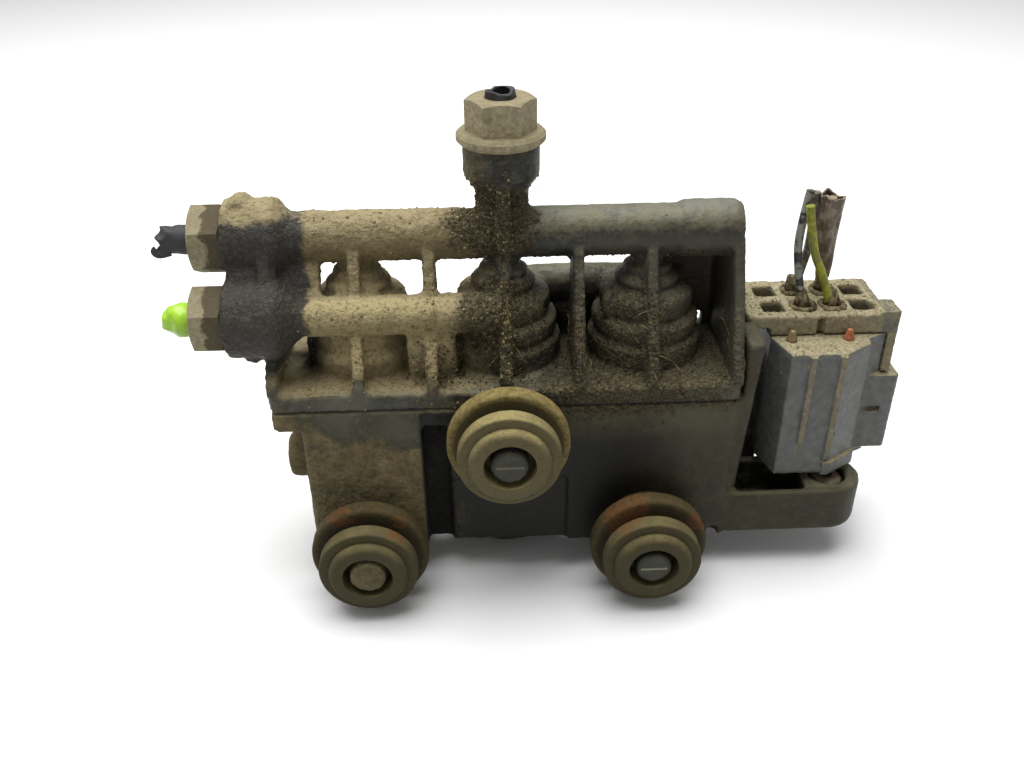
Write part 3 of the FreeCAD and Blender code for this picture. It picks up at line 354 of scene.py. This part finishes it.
        # painted highlight: a light line across the upper and right peg ends stands in for a lit moulding seam; the
        # outer rim of each peg end is darkened towards black
        from_line = abs(dirt.z - (low.z + high.z) / 2)
        painted_seam_highlight = from_line.step(0.00030, 0.00018) * dirt.around(isolator).step(0.0029, 0.0027)
        bare = (peg * painted_seam_highlight).mix(bare, srgb(150, 148, 128))
        bare = (peg * dirt.around(isolator).step(0.0026, 0.0036) * 0.5).mix(bare, nylon_black)
    colour = (dusted * (1.0 - painted_hollow_shade)).mix(bare, dust_colour)
    colour = (crusted * 0.9).mix(colour, crust_colour)
    oil_colour = dirt.noise(0.0007, 3.0).step(0.45, 0.80).mix(oil_black, oil_sheen)
    colour = (oily * 0.95).mix(colour, oil_colour)

    rough_dirt = dusted.most(crusted)
    roughness = rough_dirt * 0.36 + 0.52 - oily * 0.22
    sand = dirt.noise(grain, 3.0, 0.7)
    grit = dirt.grains(grain).step(0.6, 0.1)
    height = sand * (rough_dirt * 0.75 + 0.15) + grit * crusted * 0.5
    return surface(name, colour, roughness, height, 0.0008, gloss)


def ramp(value, low, high):
    """0 below low, 1 above high and a straight slope between; low may be the larger."""
    return min(max((value - low) / (high - low), 0.0), 1.0)


def crust_at(place):
    """How much brown crust lies at a place, from 0 to 1."""
    return max(share * ramp((place - Vector(point)).length, radius, radius * 0.5)
               for point, radius, share in crust_places)


def dirt_depth(place):
    """How thick the dirt lies at a place: full on the left and in the crust, thin at the right."""
    return max(0.30 + 0.70 * ramp(place.x, 0.008, -0.006), 1.3 * crust_at(place))


def paint(mesh, material):
    mesh.materials.clear()
    mesh.materials.append(material)


coarse_lump = 0.0042
fine_lump = 0.0011


def caked_skin(node, voxel, coarse, fine):
    """A remeshed copy of a piece with its dirt in relief: lumps on an even skin."""
    shape = bmesh.new()
    shape.from_mesh(nodes[node].data)
    bmesh.ops.remove_doubles(shape, verts=shape.verts, dist=1e-6)
    mesh = bpy.data.meshes.new(node + "_caked")
    shape.to_mesh(mesh)
    shape.free()
    piece = bpy.data.objects.new(node + "_caked", mesh)
    bpy.context.scene.collection.objects.link(piece)
    even = piece.modifiers.new("even_faces", "REMESH")
    even.mode = "VOXEL"
    even.voxel_size = voxel
    bpy.context.view_layer.update()
    skin = bpy.data.meshes.new_from_object(piece.evaluated_get(bpy.context.evaluated_depsgraph_get()))
    piece.modifiers.clear()
    piece.data = skin
    shape = bmesh.new()
    shape.from_mesh(skin)
    shape.normal_update()
    for vert in shape.verts:
        at = vert.co
        upward = max(vert.normal.z, 0.0)
        lumps = noise.fractal(at / coarse_lump, 0.9, 2.1, 3)
        grit = noise.fractal(at / fine_lump, 0.8, 2.2, 3)
        vert.co = at + vert.normal * dirt_depth(at) * (coarse * lumps * (0.5 + upward) + fine * grit)
    shape.to_mesh(skin)
    shape.free()
    skin.polygons.foreach_set("use_smooth", [True] * len(skin.polygons))
    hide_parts(node)
    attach(piece, "base")
    return piece


manifold = caked_skin("manifold", 0.00059, 0.00020, 0.00020)
turret_creases = (0.0142, 0.0188, 0.0242, 0.0268, 0.0290)
turret_reach = 0.0128
crease_half = 0.0011
crease_sink = 0.0009
for turret in ("plunger_2", "plunger_3"):
    low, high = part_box(turret)
    for vert in manifold.data.vertices:
        outward = Vector((vert.co.x - (low.x + high.x) / 2, vert.co.y - (low.y + high.y) / 2, 0.0))
        on_its_rib = abs(outward.x) < 0.0020 and outward.y < 0.0
        if vert.co.x > 0.001 and vert.co.z > 0.0115 and outward.length < turret_reach and not on_its_rib:
            sink = max(ramp(abs(vert.co.z - crease), crease_half, 0.0) for crease in turret_creases)
            vert.co = vert.co - outward.normalized() * crease_sink * sink
paint(manifold.data, caked_plastic("caked_nylon", 0.14, 0.40))


# Loose dirt: crumbs of dried mud and sand that cling where oil held them, khaki at the
# left and brown round the middle, and plant fibres caught on the ribs.
def add_piece(name, mesh):
    """A new piece of the visual model that moves with the block."""
    piece = bpy.data.objects.new(name, mesh)
    bpy.context.scene.collection.objects.link(piece)
    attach(piece, "base")
    return piece


def strew(name, ground, count, smallest, largest, density, seed):
    """Crumbs on a skin: each is a small flattened lump, half sunk into the face it lies on."""
    pick = random.Random(seed)
    faces = ground.data.polygons
    weights = [face.area * density(face.center, face.normal) for face in faces]
    lump = bmesh.new()
    bmesh.ops.create_icosphere(lump, subdivisions=1, radius=1.0)
    crumb = bpy.data.meshes.new(name + "_one")
    lump.to_mesh(crumb)
    lump.free()
    pile = bmesh.new()
    for face in pick.choices(faces, weights, k=count):
        size = smallest + (largest - smallest) * pick.random() ** 3
        stretch = Matrix.Diagonal([size * pick.uniform(0.6, 1.4), size * pick.uniform(0.6, 1.4), size * 0.7, 1.0])
        turn = face.normal.to_track_quat("Z", "Y").to_matrix().to_4x4()
        turn = turn @ Matrix.Rotation(pick.uniform(0.0, 6.28), 4, "Z")
        lie = Matrix.Translation(face.center) @ turn @ stretch
        crumb.transform(lie)
        pile.from_mesh(crumb)
        crumb.transform(lie.inverted())
    mesh = bpy.data.meshes.new(name)
    pile.to_mesh(mesh)
    pile.free()
    return add_piece(name, mesh)


def crumb_finish(name, tones):
    dirt = new_material(name)
    pick = dirt.noise(0.0009, 2.0, 0.5, 3.0).step(0.30, 0.70)
    colour = dirt.start.node("ValToRGB", {0: pick}, {"stops": [(0.0, tones[0]), (0.5, tones[1]), (1.0, tones[2])]})
    return surface(name, colour, pick * 0.1 + 0.85, dirt.noise(0.0004, 3.0), 0.0002, 0.2)


rib_pitch = 0.015
rib_front = panel_y + 0.006


def on_rib(place):
    """1 on the front edges of the upright ribs, 0 elsewhere."""
    beside = abs(place.x / rib_pitch - round(place.x / rib_pitch)) * rib_pitch
    forward = ramp(place.y, rib_front + 0.004, rib_front + 0.001)
    return ramp(beside, 0.0018, 0.0010) * forward * ramp(place.z, 0.010, 0.012)


def brown_density(place, facing):
    if place.z < 0.0045 or place.x > 0.046 or place.x < -0.020:
        return 0.0
    ledge = ramp(facing.z, 0.5, 0.9) * ramp(place.z, 0.016, 0.012) * ramp(place.x, -0.012, -0.004)
    under = ramp(facing.z, -0.3, -0.7) * 0.25
    on_turret = ramp(place.y, 0.016, 0.019) * ramp(place.x, 0.014, 0.018)
    crust = crust_at(place) ** 2 * (1.0 - 0.85 * on_turret)
    return crust + ledge * 0.6 + on_rib(place) * ramp(place.x, -0.010, -0.006) * 0.9 + under


def khaki_density(place, facing):
    if place.z < 0.0045 or place.x > 0.002 or place.x < left_boss_x + 0.0140:
        return 0.0
    ledge = ramp(facing.z, 0.5, 0.9) * ramp(place.z, 0.016, 0.012)
    return 0.12 + ledge * 0.7 + on_rib(place) * 0.8 + ramp(facing.z, 0.0, -0.6) * 0.2 + crust_at(place) * 0.5


brown_crumbs = strew("brown_crumbs", manifold, 8500, 0.00009, 0.00038, brown_density, 5)
brown_crumbs.data.materials.append(
    crumb_finish("brown_mud", (srgb(50, 43, 30), srgb(72, 63, 44), srgb(100, 88, 62))))
khaki_crumbs = strew("khaki_crumbs", manifold, 4500, 0.00010, 0.00040, khaki_density, 6)
khaki_crumbs.data.materials.append(
    crumb_finish("khaki_mud", (srgb(96, 82, 54), srgb(136, 122, 86), srgb(168, 154, 116))))

def add_run(line, points, steps):
    """A smooth run of a curve along some points, with so many steps between two of them."""
    spline = line.splines.new("NURBS")
    spline.points.add(len(points) - 1)
    for point, at in zip(spline.points, points):
        point.co = (*at, 1.0)
    spline.order_u = 3
    spline.use_endpoint_u = True
    spline.resolution_u = steps
    return spline


def mesh_of(line):
    """A curve turned into a mesh, with its thickness."""
    source = bpy.data.objects.new(line.name, line)
    bpy.context.scene.collection.objects.link(source)
    bpy.context.view_layer.update()
    mesh = bpy.data.meshes.new_from_object(source.evaluated_get(bpy.context.evaluated_depsgraph_get()))
    bpy.data.objects.remove(source)
    return mesh


fibre_count = 90
fibre_points = 4
fibre_pick = random.Random(11)
fibre_lines = bpy.data.curves.new("fibre_lines", "CURVE")
fibre_lines.dimensions = "3D"
fibre_lines.bevel_depth = 0.00005
fibre_lines.bevel_resolution = 0
fibre_lines.use_fill_caps = True
skin_faces = manifold.data.polygons
fibre_weights = [face.area * (crust_at(face.center) ** 2 + on_rib(face.center) * 0.6) * (face.center.z > 0.009)
                 for face in skin_faces]
for face in fibre_pick.choices(skin_faces, fibre_weights, k=fibre_count):
    at = face.center + face.normal * 0.0002
    run = Vector([fibre_pick.uniform(-1.0, 1.0) for _ in range(3)])
    run = (run - face.normal * run.dot(face.normal) * 0.8).normalized() * fibre_pick.uniform(0.0006, 0.0018)
    points = []
    for _ in range(fibre_points):
        points.append(at)
        bend = Vector([fibre_pick.uniform(-0.6, 0.6) for _ in range(3)]) * run.length
        at = at + run + bend + face.normal * 0.0002
    add_run(fibre_lines, points, 3)
fibres = add_piece("plant_fibres", mesh_of(fibre_lines))
paint(fibres.data, crumb_finish("dry_fibre", (srgb(70, 58, 40), srgb(128, 110, 76), srgb(176, 160, 120))))


# Coil housing: the lower black moulding with the three coil cups, the pegs for the
# isolators and the foot arm. Its left panel is dusty; its pocket and middle carry painted shade.
housing = caked_skin("coil_housing", 0.00061, 0.00010, 0.00010)
paint(housing.data, caked_plastic("caked_housing", 0.04, 0.22))


def dress(names, material):
    """Give CAD nodes a material in place of the plain one they came with."""
    for name in names:
        mesh = nodes[name].data
        paint(mesh, material)
        mesh.polygons.foreach_set("use_smooth", [False] * len(mesh.polygons))


# Isolators: three soft moulded rubber bushes, pressed over the pegs. The rubber has
# gone olive and yellow with dust, with rusty stains on the back flanges.
def rubber(name, pale, shade):
    dirt = new_material(name)
    clouds = dirt.noise(0.004, 5.0)
    streak = dirt.noise(0.0012, 4.0, 0.65, 3.0)
    upward = dirt.up.step(-0.2, 0.9)
    # the pale tone is cloudy and leans to upward faces as painted top light; the darker tone stands for the shaded
    # sides
    colour = (clouds * 0.9 + upward * 0.35 - 0.35).step(0.1, 0.80).mix(shade, pale)
    lower_pair = dirt.z.step(-0.0140, -0.0150)
    flange = dirt.y.step(0.0024, 0.0034)
    colour = (lower_pair * 0.60).mix(colour, srgb(48, 45, 31))
    worn = streak.step(0.52, 0.70) * flange.step(0.5, 0.4)
    colour = (worn * 0.45).mix(colour, srgb(66, 62, 46))
    ochre = streak.step(0.35, 0.65).mix(srgb(108, 94, 54), srgb(148, 132, 82))
    ochre = (lower_pair * 0.80).mix(ochre, srgb(52, 44, 30))
    from_axis = dirt.around("isolator_upper").least(dirt.around("isolator_left")).least(dirt.around("isolator_right"))
    # painted shade: a dark band on the inner flange face, in the groove behind the disc, broken by streaks
    painted_groove_shade = from_axis.step(0.0116, 0.0108)
    ochre = (painted_groove_shade * (streak * 0.8 + 0.4)).mix(ochre, srgb(52, 44, 29))
    colour = (flange * 0.9).mix(colour, ochre)
    rust = dirt.near((-0.0360, 0.0040, -0.0165), 0.0045).most(dirt.near((-0.0225, 0.0010, -0.0180), 0.0045))
    rust = rust.most(dirt.near((0.0245, 0.0040, -0.0180), 0.0075)).most(dirt.near((0.0400, 0.0040, -0.0210), 0.0035))
    stain = (streak * 1.5 + rust * 0.42).step(0.98, 1.16)
    colour = (stain * 0.55).mix(colour, srgb(118, 74, 40))
    pits = dirt.noise(0.0005, 2.0, 0.7).step(0.45, 0.30)
    colour = (pits * 0.5).mix(colour, khaki_dark)
    height = dirt.noise(0.0007, 5.0, 0.7)
    return surface(name, colour, clouds * 0.25 + 0.6, height, 0.00025, 0.2)


dress(["isolator_upper", "isolator_left", "isolator_right"],
      rubber("dusty_rubber", srgb(172, 157, 102), srgb(112, 104, 74)))


# Fittings: three hexagonal union nuts of plated steel, dull with dust. The seals are
# black rubber rings inside them.
def dusty_metal(name):
    dirt = new_material(name)
    clouds = dirt.noise(0.003, 5.0)
    patches = dirt.noise(0.0009, 4.0, 0.7, 5.0)
    dusted = (clouds + dirt.up.step(0.0, 1.0) * 0.2).step(0.22, 0.48)
    dust_colour = patches.step(0.35, 0.65).mix(srgb(158, 147, 115), srgb(190, 180, 148))
    # painted shade: upward faces of the nuts are darkened to tone down the overhead light
    dust_colour = (dirt.up.step(0.2, 0.8) * 0.60).mix(dust_colour, srgb(112, 102, 77))
    colour = dusted.mix(srgb(118, 111, 92), dust_colour)
    dark = (patches * 1.1 + clouds * 0.4).step(0.90, 1.05)
    colour = (dark * 0.6).mix(colour, srgb(84, 68, 46))
    oily_edge = dirt.x + (dirt.noise(0.003, 4.0) - 0.5) * 0.006
    soaked = oily_edge.step(left_boss_x - 0.0040, left_boss_x - 0.0031) * dirt.x.step(-0.03, -0.04)
    colour = (soaked * 0.8).mix(colour, srgb(62, 52, 36))
    height = dirt.noise(0.0008, 4.0, 0.7)
    return surface(name, colour, dusted * 0.3 + 0.5, height, 0.00025, 0.3)


dress(["fitting_top", "fitting_upper", "fitting_lower"], dusty_metal("dusty_fitting"))


def plain_finish(name, first, second, size, roughness, relief, metallic=0.0):
    """A close material for small or hidden pieces: two tones, cloudy, lightly rough."""
    dirt = new_material(name)
    tone = dirt.noise(size, 4.0).step(0.35, 0.65)
    colour = tone.mix(first, second)
    return surface(name, colour, dirt.noise(size * 0.6, 3.0, 0.6, 2.0) * 0.2 + roughness,
                   dirt.noise(size * 0.3, 3.0), relief, metallic=metallic)


dress(["fitting_seal_top", "fitting_seal_upper", "fitting_seal_lower", "joint_gasket"],
      plain_finish("black_rubber", srgb(28, 28, 27), srgb(44, 44, 42), 0.0008, 0.55, 0.00005))


# Air pipes: three short stubs of nylon pipe left in the fittings. The top one is cut and
# squashed, the upper one torn with a curled lip, and the lime one crimped into a blob.
def torn_stub(node, material, tear, seed):
    """A remeshed copy of a pipe stub, ragged by tear metres towards its free end."""
    piece = caked_skin(node, 0.00030, 0.0, 0.00004)
    low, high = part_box(node)
    along = 2 if node == "pipe_top" else 0
    for vert in piece.data.vertices:
        at = vert.co.copy()
        free = ramp(at.z, high.z - 0.0030, high.z) if along == 2 else ramp(at.x, low.x + 0.0050, low.x)
        push = Vector([noise.noise(at / 0.0022 + Vector((seed, axis, 0.0))) for axis in range(3)])
        vert.co = at + push * tear * free
    paint(piece.data, material)
    return piece


black_pipe = plain_finish("black_pipe", srgb(70, 70, 66), srgb(150, 149, 138), 0.0016, 0.40, 0.00015)
torn_stub("pipe_top", black_pipe, 0.0009, 3.0)
torn_stub("pipe_upper", black_pipe, 0.0016, 5.0)
lime_pipe = plain_finish("lime_pipe", srgb(134, 172, 56), srgb(166, 194, 96), 0.0020, 0.45, 0.0003)
torn_stub("pipe_lower", lime_pipe, 0.0006, 8.0)


def sliver(name, points, thickness, width, material):
    """A curled strip of torn plastic along a few points."""
    line = bpy.data.curves.new(name, "CURVE")
    line.dimensions = "3D"
    line.bevel_depth = thickness / 2
    line.bevel_resolution = 3
    line.extrude = width / 2
    line.use_fill_caps = True
    add_run(line, points, 6)
    paint(add_piece(name, mesh_of(line)).data, material)


stub_low, stub_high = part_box("pipe_upper")
stub_end = Vector((stub_low.x, (stub_low.y + stub_high.y) / 2, (stub_low.z + stub_high.z) / 2))
lip_steps = [(0.0024, -0.0022, -0.0018), (0.0008, -0.0025, -0.0022), (-0.0004, -0.0025, -0.0021),
             (-0.0009, -0.0024, -0.0013), (-0.0003, -0.0023, -0.0009)]
lip_points = [stub_end + Vector(step) for step in lip_steps]
sliver("torn_lip", lip_points, 0.0006, 0.0008, black_pipe)
dress(["gallery_plug"], plain_finish("plug_metal", srgb(120, 116, 100), srgb(150, 145, 128), 0.001, 0.5, 0.00008))


# Socket and plug: a blue-grey moulded shroud, dusty along its ribs and edges, and the
# pale plug latched in it. Mud fills the plug's wire cavities to different depths, and
# stands in collars round the wires.
plug_top = 0.0172


def grey_plastic(name, bare, worn, dust_level, painted_hollow_shade=False):
    """Grey moulded plastic, dusty on top, along ribs and in corners; the hollow flag adds painted shade inside the
    cavities.
    """
    dirt = new_material(name)
    clouds = dirt.noise(0.004, 5.0)
    patches = dirt.noise(0.0009, 4.0, 0.7, 6.0)
    upward = dirt.up.step(0.35, 0.85)
    on_edge = dirt.edge.step(0.515, 0.57)
    in_corner = dirt.edge.step(0.49, 0.44)
    dusted = clouds * 0.7 + patches * 0.4 + upward * 0.7 + on_edge * 0.35 + in_corner * 0.2 + dust_level
    dusted = dusted.step(0.72, 1.05)
    rail = dirt.x.step(0.0796, 0.0804) * dirt.z.step(0.0125, 0.0128)
    dusted = dusted * (1.0 - rail * 0.80)
    for middle in (0.0636, 0.0699, 0.0775):
        off = abs(dirt.x - middle + (patches - 0.5) * 0.0006)
        stripe = off.step(0.00085, 0.00045) * dirt.z.step(-0.0140, -0.0090)
        dusted = dusted.most(stripe * dirt.y.step(panel_y + 0.0100, panel_y + 0.0060) * (patches * 0.6 + 0.45))
    dust_colour = patches.step(0.3, 0.7).mix(srgb(132, 123, 94), srgb(172, 163, 132))
    if painted_hollow_shade:
        # painted shade: the cavity walls below the plug's top are darkened
        deep_painted_shade = dirt.y.step(panel_y + 0.0125, panel_y + 0.0132) * dirt.z.step(plug_top - 0.0006, plug_top - 0.0016)
        dust_colour = (deep_painted_shade * 0.75).mix(dust_colour, srgb(62, 56, 41))
    bare = rail.mix(bare, srgb(80, 80, 78))
    colour = dusted.mix(dirt.noise(0.002, 4.0, 0.6, 1.0).step(0.3, 0.7).mix(bare, worn), dust_colour)
    muddy = dirt.near((0.0795, panel_y + 0.006, -0.0085), 0.0045) * 0.8
    colour = (muddy * patches.step(0.3, 0.6)).mix(colour, srgb(112, 84, 58))
    height = dirt.noise(0.0007, 4.0, 0.7) * (dusted * 0.8 + 0.2)
    return surface(name, colour, dusted * 0.35 + 0.42, height, 0.0003)


header = caked_skin("header_shroud", 0.00030, 0.00020, 0.00018)
paint(header.data, grey_plastic("grey_header", srgb(94, 96, 93), srgb(118, 120, 116), 0.0))

plug = caked_skin("plug_body", 0.00042, 0.00040, 0.00040)
paint(plug.data, grey_plastic("grey_plug", srgb(116, 111, 93), srgb(138, 132, 108), 0.42, painted_hollow_shade=True))

cavity_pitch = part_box("terminal_2")[0].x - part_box("terminal_1")[0].x
cavity_size = 0.0047
collar_r = 0.0024
wired = []
for i in range(1, 5):
    low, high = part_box(f"terminal_{i}")
    wired.append(((low.x + high.x) / 2, (low.y + high.y) / 2))
row_ys = sorted({round(y, 5) for x, y in wired})
column_xs = sorted({round(x, 5) for x, y in wired})
column_xs = [column_xs[0] - cavity_pitch] + column_xs + [column_xs[-1] + cavity_pitch]
fill_pick = random.Random(21)
mud = bmesh.new()
for y in row_ys:
    for x in column_xs:
        depth = 0.0010 if (x, y) in wired else fill_pick.uniform(0.0020, 0.0042)
        place = Matrix.Translation((x, y, plug_top - depth - 0.0008))
        squash = Matrix.Diagonal((cavity_size * 0.52, cavity_size * 0.52, 0.0011, 1.0))
        bmesh.ops.create_icosphere(mud, subdivisions=4, radius=1.0, matrix=place @ squash)
collar_thickness = 0.00070
upright = Matrix.Rotation(math.pi / 2, 4, "X")
for x, y in wired:
    ring = bmesh.ops.create_circle(mud, segments=10, radius=collar_thickness, cap_ends=False,
                                   matrix=Matrix.Translation((x + collar_r, y, plug_top)) @ upright)
    edges = list({edge for vert in ring["verts"] for edge in vert.link_edges})
    bmesh.ops.spin(mud, geom=ring["verts"] + edges, cent=(x, y, plug_top), axis=(0.0, 0.0, 1.0),
                   angle=2 * math.pi, steps=36, use_merge=True)
    lead_lean = Matrix.Rotation(math.radians(-12.0 if x > 0.067 else -9.0), 4, "Y")
    bmesh.ops.create_cone(mud, cap_ends=True, segments=24, radius1=0.0021, radius2=0.0011, depth=0.0044,
                          matrix=Matrix.Translation((x - 0.0003, y, plug_top + 0.0014)) @ lead_lean)
bmesh.ops.remove_doubles(mud, verts=mud.verts, dist=1e-6)
bmesh.ops.recalc_face_normals(mud, faces=mud.faces)
mud.normal_update()
for vert in mud.verts:
    vert.co = vert.co + vert.normal * (0.00035 * noise.fractal(vert.co / 0.0016, 0.9, 2.1, 4) - 0.0001)
mud_mesh = bpy.data.meshes.new("cavity_mud")
mud.to_mesh(mud_mesh)
mud.free()
mud_mesh.polygons.foreach_set("use_smooth", [True] * len(mud_mesh.polygons))
add_piece("cavity_mud", mud_mesh)
paint(mud_mesh, crumb_finish("cavity_dirt", (srgb(58, 51, 36), srgb(100, 91, 66), srgb(140, 130, 100))))


def plug_density(place, facing):
    return ramp(facing.z, 0.3, 0.8) * ramp(place.z, 0.009, 0.012) + 0.05


plug_crumbs = strew("plug_crumbs", plug, 1200, 0.00008, 0.00035, plug_density, 9)
plug_crumbs.data.materials.append(
    crumb_finish("plug_mud", (srgb(94, 84, 58), srgb(132, 122, 92), srgb(160, 150, 118))))
header_crumbs = strew("header_crumbs", header, 900, 0.00008, 0.00030, plug_density, 10)
header_crumbs.data.materials.append(bpy.data.materials["plug_mud"])

for name, first, second in (("lock_peg_1", srgb(132, 108, 80), srgb(156, 134, 100)),
                            ("lock_peg_2", srgb(160, 92, 60), srgb(184, 120, 84))):
    peg = caked_skin(name, 0.00018, 0.0, 0.00012)
    low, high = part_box(name)
    for vert in peg.data.vertices:
        narrow = 1.0 - 0.5 * ramp(vert.co.z, high.z - 0.0020, high.z)
        middle = Vector(((low.x + high.x) / 2, (low.y + high.y) / 2, vert.co.z))
        vert.co = middle + (vert.co - middle) * narrow
    paint(peg.data, plain_finish(name + "_finish", first, second, 0.0006, 0.6, 0.0001))
    "pale_peg" if name == "lock_peg_1" else "orange_peg"
dress([f"terminal_{i}" for i in range(1, 5)],
      plain_finish("tinned_blade", srgb(150, 148, 140), srgb(176, 174, 166), 0.001, 0.3, 0.00003, metallic=0.9))


# Leads: four cut cables that rise stiffly from the plug, with thin plastic insulation:
# grey with black stripes, yellow-green, brown and dark. Their ends are torn off.
lead_base = 0.00822
lead_diameter = 0.0018
lead_routes = {
    "striped": [(0.0641, 0.0285), (-2.2, 0.4, 9.0), (-3.0, 0.9, 16.0), (-1.7, 1.2, 25.5)],
    "yellow": [(0.0705, 0.0285), (-3.4, -0.6, 7.5), (-6.8, -0.9, 14.0), (-8.4, -0.9, 23.0)],
    "brown": [(0.0705, 0.0357), (-1.2, -1.0, 8.0), (-1.8, -2.6, 15.0), (-2.6, -4.0, 23.0)],
    "dark": [(0.0641, 0.0357), (0.8, -0.8, 6.0), (1.4, -2.0, 12.0), (0.6, -3.2, 24.0)],
}


def insulation(name, first, second, band):
    dirt = new_material(name)
    stripe = dirt.noise(0.0022, 2.0, 0.5, band).step(0.46, 0.52)
    colour = stripe.mix(first, second)
    dusted = dirt.noise(0.0012, 4.0, 0.6, 7.0).step(0.5, 0.7)
    colour = (dusted * 0.6).mix(colour, srgb(140, 130, 102))
    return surface(name, colour, dusted * 0.3 + 0.45, dirt.noise(0.0006, 3.0), 0.00008)


lead_finishes = {
    "striped": insulation("striped_insulation", srgb(148, 146, 138), srgb(52, 52, 50), 1.0),
    "yellow": insulation("yellow_insulation", srgb(166, 168, 44), srgb(134, 138, 50), 2.0),
    "brown": insulation("brown_insulation", srgb(112, 92, 74), srgb(140, 122, 100), 3.0),
    "dark": insulation("dark_insulation", srgb(132, 128, 114), srgb(92, 88, 78), 4.0),
}
for name, route in lead_routes.items():
    x, y = route[0]
    points = [(x, y, lead_base), (x, y, plug_top - 0.001)]
    points += [(x + dx / 1000, y + dy / 1000, plug_top + rise / 1000) for dx, dy, rise in route[1:]]
    curve = bpy.data.curves.new("cut_lead_" + name, "CURVE")
    curve.dimensions = "3D"
    add_run(curve, points, 8)
    curve.bevel_depth = lead_diameter / 2
    curve.bevel_resolution = 4
    curve.use_fill_caps = True
    lead = bpy.data.objects.new("cut_lead_" + name, curve)
    bpy.context.scene.collection.objects.link(lead)
    curve.materials.append(lead_finishes[name])
    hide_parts("lead_" + name)
    "lead_" + name
    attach(lead, "base")
    run = sum((Vector(b) - Vector(a)).length for a, b in zip(points, points[1:]))
    run * 0.99

sheath_colour = insulation("torn_sheath", srgb(146, 134, 116), srgb(110, 96, 82), 5.0)
sheath_wall = 0.0004
sheath_steps = [(-0.6, -0.6, 4.0, 1.0), (-1.2, -1.2, 9.0, 1.2), (-1.9, -2.4, 13.5, 2.0), (-2.4, -3.2, 18.0, 2.4),
                (-3.0, -4.0, 23.6, 2.4)]
sheath_line = bpy.data.curves.new("sheath_line", "CURVE")
sheath_line.dimensions = "3D"
sheath_line.bevel_depth = 0.0010
sheath_line.bevel_resolution = 8
x, y = lead_routes["brown"][0]
sheath_run = add_run(sheath_line, [(x + dx / 1000, y + dy / 1000, plug_top + rise / 1000)
                                   for dx, dy, rise, wide in sheath_steps], 12)
for point, (dx, dy, rise, wide) in zip(sheath_run.points, sheath_steps):
    point.radius = wide
sheath_mesh = mesh_of(sheath_line)
folds = bmesh.new()
folds.from_mesh(sheath_mesh)
bmesh.ops.subdivide_edges(folds, edges=folds.edges, cuts=2, use_grid_fill=True)
folds.normal_update()
sheath_top = max(vert.co.z for vert in folds.verts)
for vert in folds.verts:
    fold = noise.noise(Vector((vert.co.x / 0.0012, vert.co.y / 0.0012, vert.co.z / 0.009)))
    ragged = noise.noise(Vector((vert.co.x / 0.0026, vert.co.y / 0.0026, 7.0)))
    end = ramp(vert.co.z, sheath_top - 0.004, sheath_top)
    vert.co = vert.co + vert.normal * 0.0010 * fold + Vector((0.0, 0.0, 0.0022 * ragged * end))
folds.to_mesh(sheath_mesh)
folds.free()
sheath = add_piece("torn_sheath", sheath_mesh)
paint(sheath_mesh, sheath_colour)
sheath_mesh.polygons.foreach_set("use_smooth", [True] * len(sheath_mesh.polygons))
wall = sheath.modifiers.new("wall", "SOLIDIFY")
wall.thickness = sheath_wall
wall.offset = 0.0


# Screws: socket-head screws of zinc-plated steel gone brown.
dress(["foot_screw", "clamp_screw_1", "clamp_screw_2", "clamp_screw_3"],
      plain_finish("rusty_screw", srgb(112, 98, 78), srgb(146, 130, 104), 0.0009, 0.5, 0.0001, metallic=0.3))


# Coils: inside each cup a steel yoke and pole, a bobbin with its copper winding and
# the sliding plunger with its rubber seal and return spring.
valves = range(1, 4)
dress([f"{part}_{i}" for part in ("yoke", "pole_core", "plunger") for i in valves],
      plain_finish("magnet_steel", srgb(120, 121, 120), srgb(150, 150, 148), 0.0015, 0.35, 0.00003, metallic=0.9))
dress([f"return_spring_{i}" for i in valves],
      plain_finish("spring_steel", srgb(140, 140, 138), srgb(170, 170, 166), 0.001, 0.3, 0.00002, metallic=0.9))
dress([f"bobbin_{i}" for i in valves],
      plain_finish("bobbin_nylon", srgb(196, 188, 168), srgb(210, 204, 186), 0.002, 0.5, 0.00004))
dress([f"winding_{i}" for i in valves],
      plain_finish("enamelled_copper", srgb(166, 84, 44), srgb(190, 106, 60), 0.0006, 0.35, 0.00005, metallic=0.8))
dress([f"plunger_seal_{i}" for i in valves],
      plain_finish("seal_rubber", srgb(30, 30, 29), srgb(46, 46, 44), 0.0008, 0.6, 0.00004))
